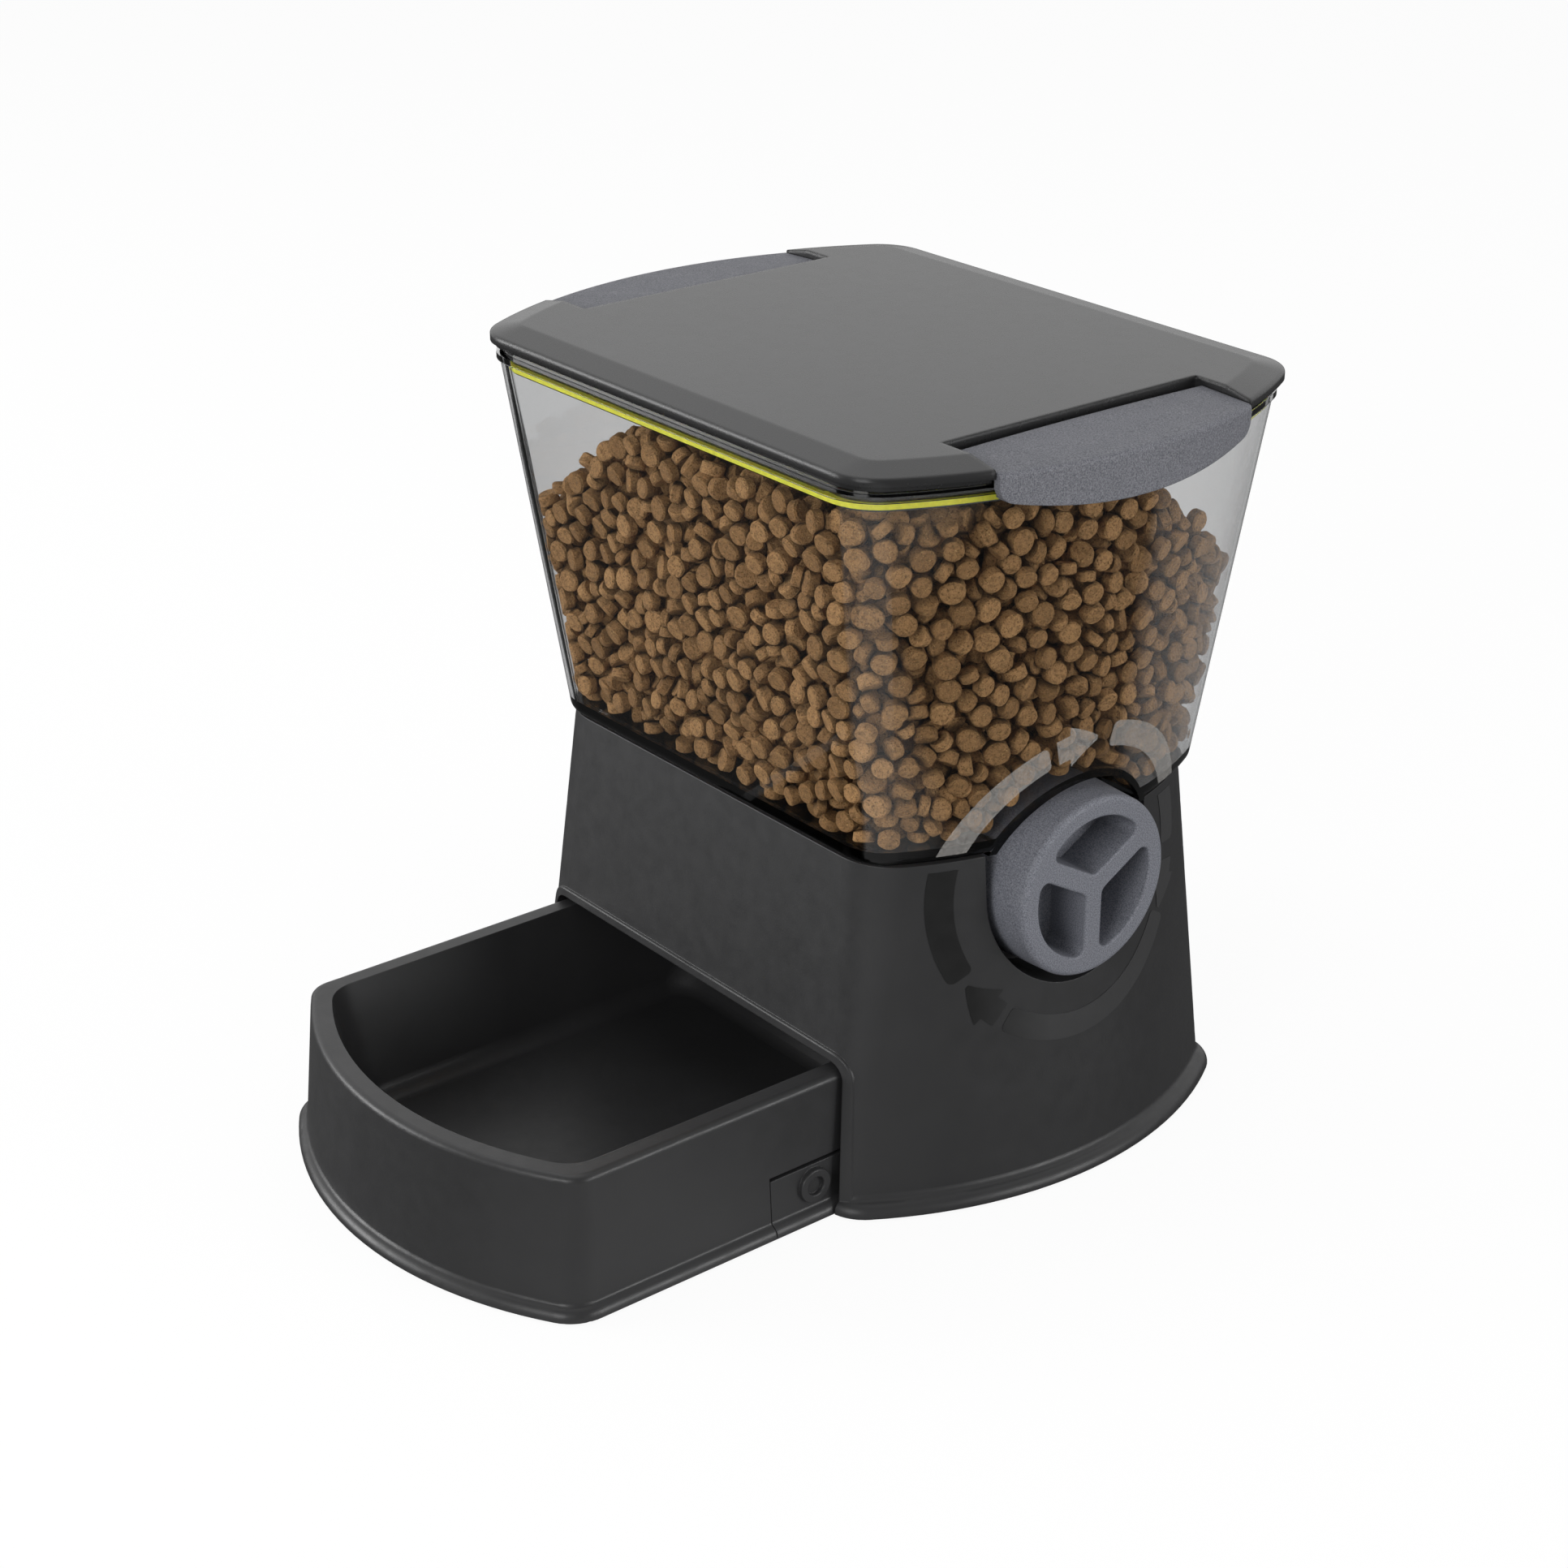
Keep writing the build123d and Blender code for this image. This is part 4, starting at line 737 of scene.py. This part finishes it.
class DISPENSER_OT_food(Operator):
    """Fills the tub with dry food, piece by piece, against its walls and up to its heap"""
    bl_idname = "dispenser.food"
    bl_label = "Fill the Tub"

    # Depth off the wall in millimetres, tries, share laid flat, closeness of neighbours, cut in size
    LAYERS = ((0, 16000, 0.7, 2.0, 0), (0, 9000, 0.2, 1.95, 0.08), (3, 9000, 0.4, 1.9, 0),
              (6.5, 11000, 0.1, 1.7, 0), (10.5, 10000, 0, 1.5, 0), (15, 9000, 0, 1.35, 0),
              (20, 8000, 0, 1.3, 0))
    # Tries, closeness and depths in millimetres for the top of the heap
    TOP_TRIES = 12000
    TOP_CLOSENESS = 1.75
    TOP_DEPTHS = (0.1, 4.0, 8.0, 12.0)
    # Room that stays free at the wheel's ends, along the tub and above the wheel
    WHEEL_ENDS = 6 * MM
    WHEEL_ALONG = 40 * MM
    WHEEL_ABOVE = 4 * MM
    # Most pieces in one object, and the turns at which a piece's rim is tested
    MOST = 1500
    SPOKES = np.arange(6) * math.pi / 3

    def model(self):
        """One piece of food: a flat round biscuit with soft rims."""
        bpy.ops.mesh.primitive_cylinder_add(vertices=16, radius=1, depth=1.4)
        piece = start_piece("biscuit")
        edit(piece)
        pick(piece, "faces", lambda f: abs(f.normal.z) > 0.9)
        bpy.ops.mesh.inset(thickness=0.15, depth=0.3)
        done()
        points = np.array([v.co for v in piece.data.vertices])
        faces = [list(p.vertices) for p in piece.data.polygons]
        bpy.data.objects.remove(piece)
        return points, faces

    def walls(self):
        """Everything hard that the food may touch, as one search tree, and how many faces are the tub's."""
        points, faces, counts = [], [], []
        for node in ("hopper", "lid_plug", "lid_seal", "lid_screws", "portion_wheel", "wheel_housing"):
            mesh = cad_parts[node].data
            start = len(points)
            points.extend(v.co.copy() for v in mesh.vertices)
            faces.extend([start + i for i in p.vertices] for p in mesh.polygons)
            counts.append(len(faces))
        return BVHTree.FromPolygons(points, faces), counts[0]

    def lining(self, walls, tub_faces):
        """The triangles of the tub's inside: nothing of the tub lies above them."""
        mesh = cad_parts["hopper"].data
        mesh.calc_loop_triangles()
        found = []
        for triangle in mesh.loop_triangles:
            corners = [mesh.vertices[i].co for i in triangle.vertices]
            above = walls.ray_cast(sum(corners, Vector()) / 3 + triangle.normal * 0.5 * MM, Vector((0, 0, 1)))
            if above[0] is not None and above[2] >= tub_faces:
                found.append((corners, triangle.normal.copy(), triangle.area))
        return found

    def heap(self, food, x, y):
        """Height of the heap at a place in the tub."""
        left = food.fall_left * max(0.0, food.shoulder_left - x)
        rear = food.fall_rear * max(0.0, y - food.shoulder_rear)
        ripple = 2.5 * MM * math.sin(x * 97) * math.cos(y * 83)
        return food.peak - math.hypot(left, rear) + ripple

    def try_piece(self, food, walls, centre, axis, radius, height, closeness):
        """Lays a piece of food if it stays below the heap, off the walls and off its neighbours."""
        reach = math.sqrt(max(0.0, 1 - axis.z ** 2)) * radius + abs(axis.z) * height
        if centre.z + reach > self.heap(food, centre.x, centre.y):
            return
        over_wheel = abs(centre.x) < wheel_high.x + self.WHEEL_ENDS
        over_wheel = over_wheel and abs(centre.y - tub_middle.y) < self.WHEEL_ALONG
        if over_wheel and centre.z - reach < wheel_high.z + self.WHEEL_ABOVE:
            return
        cell = 2.2 * food.radius
        key = tuple(math.floor(c / cell) for c in centre)
        near = [index for i in (-1, 0, 1) for j in (-1, 0, 1) for k in (-1, 0, 1)
                for index in self.grid.get((key[0] + i, key[1] + j, key[2] + k), ())]
        if any((self.laid[index][0] - centre).length < closeness * 0.9 * height for index in near):
            return
        side = axis.orthogonal().normalized()
        other = axis.cross(side)
        spokes = np.outer(np.cos(self.SPOKES), side) + np.outer(np.sin(self.SPOKES), other)
        balls = np.array(centre) + np.vstack([np.zeros(3), spokes * (radius - height)])
        if near:
            others = np.concatenate([self.laid[index][4] for index in near])
            if np.linalg.norm(balls[:, None, :] - others[None, :, :], axis=2).min() < closeness * height:
                return
        for ball in balls:
            hit = walls.find_nearest(Vector(ball), height + food.gap)
            if hit[0] is not None and hit[3] < height + food.gap * 0.6:
                return
        self.grid.setdefault(key, []).append(len(self.laid))
        self.laid.append((centre, axis, radius, height, balls))

    def piece_size(self, food, order, small):
        """Radius and half height of the next piece of food."""
        scale = (1 - small) * (1 + food.spread * order.uniform(-1, 1))
        return food.radius * scale, food.half_height * scale

    def fill_walls(self, food, order, walls, lining):
        """Lays food against the walls and in layers behind that, at random places."""
        shares = np.cumsum([area for corners, normal, area in lining])
        for depth, tries, flat, closeness, small in self.LAYERS:
            for pick_at, across, along in order.uniform(size=(tries, 3)):
                corners, normal, area = lining[int(np.searchsorted(shares, pick_at * shares[-1]))]
                if across + along > 1:
                    across, along = 1 - across, 1 - along
                wall = corners[0] + (corners[1] - corners[0]) * across + (corners[2] - corners[0]) * along
                radius, height = self.piece_size(food, order, small)
                axis = Vector(order.normal(size=3)).normalized()
                if order.uniform() < flat:
                    axis = (normal + 0.35 * axis).normalized()
                lean = abs(axis.dot(normal))
                stand = radius * math.sqrt(max(0.0, 1 - lean ** 2)) + height * lean
                centre = wall + normal * (stand + food.gap + depth * MM * order.uniform(0.85, 1.15))
                self.try_piece(food, walls, centre, axis, radius, height, closeness)

    def fill_top(self, food, order, walls, tub_faces):
        """Lays food on and just under the top of the heap, wherever that lies inside the tub."""
        half = (tub_high - tub_low) / 2
        for x, y in order.uniform(-1, 1, size=(self.TOP_TRIES, 2)):
            place = Vector((x * half.x, tub_middle.y + y * half.y, 0))
            radius, height = self.piece_size(food, order, 0)
            axis = (Vector((0, 0, 1)) + 0.9 * Vector(order.normal(size=3)).normalized()).normalized()
            reach = math.sqrt(max(0.0, 1 - axis.z ** 2)) * radius + abs(axis.z) * height
            place.z = self.heap(food, place.x, place.y) - reach - order.choice(self.TOP_DEPTHS) * MM
            above = walls.ray_cast(place, Vector((0, 0, 1)))
            if above[0] is not None and above[2] >= tub_faces:
                self.try_piece(food, walls, place, axis, radius, height, self.TOP_CLOSENESS)

    def execute(self, context):
        food = values().food
        order = np.random.default_rng(food.seed)
        points, faces = self.model()
        walls, tub_faces = self.walls()
        crust = baked_crust("food_crust", food.light, food.dark)
        self.grid, self.laid = {}, []
        self.fill_walls(food, order, walls, self.lining(walls, tub_faces))
        wall_count = len(self.laid)
        self.fill_top(food, order, walls, tub_faces)
        at_walls, on_top = self.laid[:wall_count], self.laid[wall_count:]
        for name, members in (("food_at_walls", at_walls), ("food_on_top", on_top)):
            for part in range(0, len(members), self.MOST):
                self.build("%s_%d" % (name, part // self.MOST + 1), members[part:part + self.MOST],
                           points, faces, order, crust)
        return {"FINISHED"}

    def build(self, name, members, points, faces, order, crust):
        """Puts a copy of the biscuit at each place, each slightly out of round."""
        verts, polygons, tones = [], [], []
        angle = np.arctan2(points[:, 1], points[:, 0])
        for centre, axis, radius, height, balls in members:
            side = axis.orthogonal().normalized()
            other = axis.cross(side)
            oval = 0.03 * np.cos(2 * angle + order.uniform(0, 6.3))
            dent = 0.02 * np.cos(3 * angle + order.uniform(0, 6.3))
            wide = (1 + oval + dent) * radius * 0.96
            local = points * np.column_stack([wide, wide, np.full(len(points), height)])
            start = len(verts) * len(points)
            verts.append(local @ np.array([side, other, axis]) + np.array(centre))
            polygons.extend([start + i for i in face] for face in faces)
            tones.append(np.full(len(points), order.uniform()))
        mesh = bpy.data.meshes.new(name)
        mesh.from_pydata(np.concatenate(verts).tolist(), [], polygons)
        tone = mesh.attributes.new("tone", "FLOAT", "POINT")
        tone.data.foreach_set("value", np.concatenate(tones).astype(np.float32))
        piece = bpy.data.objects.new(name, mesh)
        bpy.context.collection.objects.link(piece)
        smooth(piece, 35)
        give(piece, crust, "hopper")


class DISPENSER_OT_stage(Operator):
    """Sets the floor, the lamps, the surrounding light and the camera"""
    bl_idname = "dispenser.stage"
    bl_label = "Set the Stage"

    # Name, place, width, height and power of each lamp
    LAMPS = (("overhead", (-0.15, 0.25, 1.9), 1.9, 1.9, 6), ("front_left", (-1.5, -1.5, 0.55), 1.2, 0.9, 24),
             ("front", (0.75, -1.9, 0.85), 0.9, 0.9, 15), ("right", (1.9, 0.9, 0.45), 1.0, 0.7, 15))
    LAMP_AIM = (0, 0.05, 0.12)
    # Strength of white, seen straight and through the tub
    WHITE = 1.03
    WHITE_THROUGH = 0.95
    # Edges of the floor's painted dark zones, which show only through the tub, measured across and along the
    # camera's view
    LEFT_INNER, LEFT_WIDENING, LEFT_OUTER, LEFT_FRONT, LEFT_REAR = 0.12, 0.19, 0.80, 0.15, 0.65
    RIGHT_INNER, RIGHT_FRONT, RIGHT_REAR = 0.14, 0.38, 0.06
    ZONE_BLUR = 0.05
    # Near end of the painted reflection strip on the floor in front of the object, and its blur
    CARD_END, CARD_BLUR = 0.2, 0.1

    def floor(self, stage):
        """A white floor that is darker in mirrors, with a painted reflection strip towards the camera, and
        two painted dark zones that show only through the tub.
        """
        bpy.ops.mesh.primitive_grid_add(x_subdivisions=8, y_subdivisions=8, size=9)
        floor = start_piece("floor")
        finish = Finish("floor_white")
        path = finish.node("ShaderNodeLightPath").outputs
        finish.set(Roughness=0.9, Specular_IOR_Level=0.1)
        finish.link(finish.mix(path["Is Camera Ray"], stage.bounce, stage.floor),
                    finish.shader.inputs["Base Color"])
        turned = finish.node("ShaderNodeVectorRotate", rotation_type="Z_AXIS")
        finish.link(finish.place, turned.inputs["Vector"])
        turned.inputs["Angle"].default_value = -stage.azimuth
        apart = finish.node("ShaderNodeSeparateXYZ")
        finish.link(turned.outputs["Vector"], apart.inputs["Vector"])
        across, along = apart.outputs["X"], apart.outputs["Y"]
        # Painted shade: two zones of the floor are dark only through the tub, so that the tub's sides look
        # dark.
        widening = finish.math("MULTIPLY", finish.math("ABSOLUTE", along, 0), self.LEFT_WIDENING)
        inner = finish.math("ADD", widening, self.LEFT_INNER)
        left = finish.least(finish.math("SUBTRACT", finish.math("MULTIPLY", across, -1), inner),
                            finish.math("ADD", across, self.LEFT_OUTER),
                            finish.math("ADD", along, self.LEFT_FRONT),
                            finish.math("SUBTRACT", self.LEFT_REAR, along))
        right = finish.least(finish.math("SUBTRACT", across, self.RIGHT_INNER),
                             finish.math("ADD", along, self.RIGHT_FRONT),
                             finish.math("SUBTRACT", self.RIGHT_REAR, along))
        zones = finish.math("MAXIMUM", left, right)
        painted_dark_lane = finish.spread(zones, self.WHITE_THROUGH, stage.flags, 0, self.ZONE_BLUR)
        # Painted reflection: a strip of floor towards the camera glows in mirrors only.
        strip = finish.math("ADD", finish.math("ABSOLUTE", across, 0),
                            finish.math("MAXIMUM", along, -self.CARD_END))
        painted_reflection_strip = finish.spread(strip, stage.painted_reflection_strip, stage.mirrored, -self.CARD_BLUR, 0.0)
        mirrored = finish.math("MULTIPLY", path["Is Glossy Ray"], painted_reflection_strip)
        beyond = finish.mix_value(path["Is Transmission Ray"], mirrored, painted_dark_lane)
        strength = finish.mix_value(path["Is Camera Ray"], beyond, self.WHITE)
        shown = finish.math("MAXIMUM", path["Is Glossy Ray"], path["Is Transmission Ray"])
        share = finish.mix_value(path["Is Camera Ray"], shown, stage.white)
        white = finish.node("ShaderNodeEmission")
        finish.link(strength, white.inputs["Strength"])
        lit = finish.node("ShaderNodeMixShader")
        either = finish.node("ShaderNodeMixShader")
        through = finish.node("ShaderNodeBsdfTransparent")
        finish.link(share, lit.inputs["Fac"])
        finish.link(finish.shader.outputs["BSDF"], lit.inputs[1])
        finish.link(white.outputs["Emission"], lit.inputs[2])
        finish.link(finish.node("ShaderNodeNewGeometry").outputs["Backfacing"], either.inputs["Fac"])
        finish.link(lit.outputs["Shader"], either.inputs[1])
        finish.link(through.outputs["BSDF"], either.inputs[2])
        finish.link(either.outputs["Shader"], finish.output.inputs["Surface"])
        floor.data.materials.append(finish.material)

    def world(self, stage):
        """White where it is seen, and in mirrors bright behind the object and dark in front of it."""
        world = bpy.data.worlds.new("pale_room")
        bpy.context.scene.world = world
        world.use_nodes = True
        room = Finish.on_tree(world.node_tree)
        ambient = world.node_tree.nodes["Background"]
        path = room.node("ShaderNodeLightPath").outputs
        facing = room.node("ShaderNodeVectorMath", operation="DOT_PRODUCT")
        room.link(room.node("ShaderNodeTexCoord").outputs["Generated"], facing.inputs[0])
        facing.inputs[1].default_value = (-math.sin(stage.azimuth), math.cos(stage.azimuth), 0)
        behind = room.spread(facing.outputs["Value"], stage.room_front, stage.room_rear, -0.3, 0.5)
        seen = room.mix_value(path["Is Glossy Ray"], stage.ambient, behind)
        seen = room.mix_value(path["Is Transmission Ray"], seen, stage.room_through)
        seen = room.mix_value(path["Is Camera Ray"], seen, self.WHITE)
        ambient.inputs["Color"].default_value = (1, 1, 1, 1)
        room.link(seen, ambient.inputs["Strength"])

    def lamp(self, name, place, wide, tall, power):
        light = bpy.data.lights.new(name, "AREA")
        light.shape = "RECTANGLE"
        light.size, light.size_y, light.energy = wide, tall, power
        lamp = bpy.data.objects.new(name, light)
        bpy.context.collection.objects.link(lamp)
        lamp.location = place
        lamp.rotation_euler = (Vector(self.LAMP_AIM) - Vector(place)).to_track_quat("-Z", "Y").to_euler()

    def camera(self, stage):
        azimuth, elevation = stage.azimuth, stage.elevation
        right = Vector((math.cos(azimuth), math.sin(azimuth), 0))
        back = Vector((math.sin(azimuth) * math.cos(elevation), -math.cos(azimuth) * math.cos(elevation),
                       math.sin(elevation)))
        up = back.cross(right)
        camera = bpy.data.objects.new("camera", bpy.data.cameras.new("camera"))
        bpy.context.collection.objects.link(camera)
        camera.data.lens = stage.lens
        camera.data.sensor_width = 36
        shift = right * stage.slide + up * stage.raise_by
        camera.location = Vector(stage.aim) + shift + back * stage.distance
        camera.rotation_euler = (math.pi / 2 - elevation, 0, azimuth)
        bpy.context.scene.camera = camera

    def execute(self, context):
        stage = values().stage
        self.floor(stage)
        self.world(stage)
        for lamp in self.LAMPS:
            self.lamp(*lamp)
        self.camera(stage)
        bpy.context.scene.view_settings.view_transform = "Standard"
        return {"FINISHED"}


GROUPS = {"finish": FinishValues, "food": FoodValues, "mark": MarkValues, "hardware": HardwareValues,
          "stage": StageValues}
OPERATORS = (DISPENSER_OT_finishes, DISPENSER_OT_screws, DISPENSER_OT_feet, DISPENSER_OT_turn_mark,
             DISPENSER_OT_food, DISPENSER_OT_stage)


class DispenserValues(PropertyGroup):
    finish: PointerProperty(name="Finishes", description="Colours of the finishes", type=FinishValues)
    food: PointerProperty(name="Food", description="Sizes and colours of the food", type=FoodValues)
    mark: PointerProperty(name="Turn mark", description="Sizes and colours of the turn mark", type=MarkValues)
    hardware: PointerProperty(name="Hardware", description="Sizes of screws and feet", type=HardwareValues)
    stage: PointerProperty(name="Stage", description="Camera, floor and light", type=StageValues)


class DISPENSER_PT_panel(Panel):
    """Lists the dispenser's values and its making steps"""
    bl_idname = "DISPENSER_PT_panel"
    bl_label = "Pet Food Dispenser"
    bl_space_type = "VIEW_3D"
    bl_region_type = "UI"
    bl_category = "Dispenser"

    def draw(self, context):
        for name, group in GROUPS.items():
            box = self.layout.box()
            box.label(text=name.title())
            for value in group.__annotations__:
                box.prop(getattr(values(), name), value)
        for operator in OPERATORS:
            self.layout.operator(operator.bl_idname)


CLASSES = (*GROUPS.values(), DispenserValues, *OPERATORS, DISPENSER_PT_panel)


def register():
    for part in CLASSES:
        bpy.utils.register_class(part)
    bpy.types.Scene.dispenser = PointerProperty(type=DispenserValues)


def unregister():
    del bpy.types.Scene.dispenser
    for part in reversed(CLASSES):
        bpy.utils.unregister_class(part)


def main():
    register()
    for name in ("Cube", "Light", "Camera"):
        if name in bpy.data.objects:
            bpy.data.objects.remove(bpy.data.objects[name])
    clear_selection()
    bpy.ops.dispenser.finishes()
    bpy.ops.dispenser.screws()
    bpy.ops.dispenser.feet()
    bpy.ops.dispenser.turn_mark()
    bpy.ops.dispenser.food()
    bpy.ops.dispenser.stage()


if __name__ == "__main__":
    main()
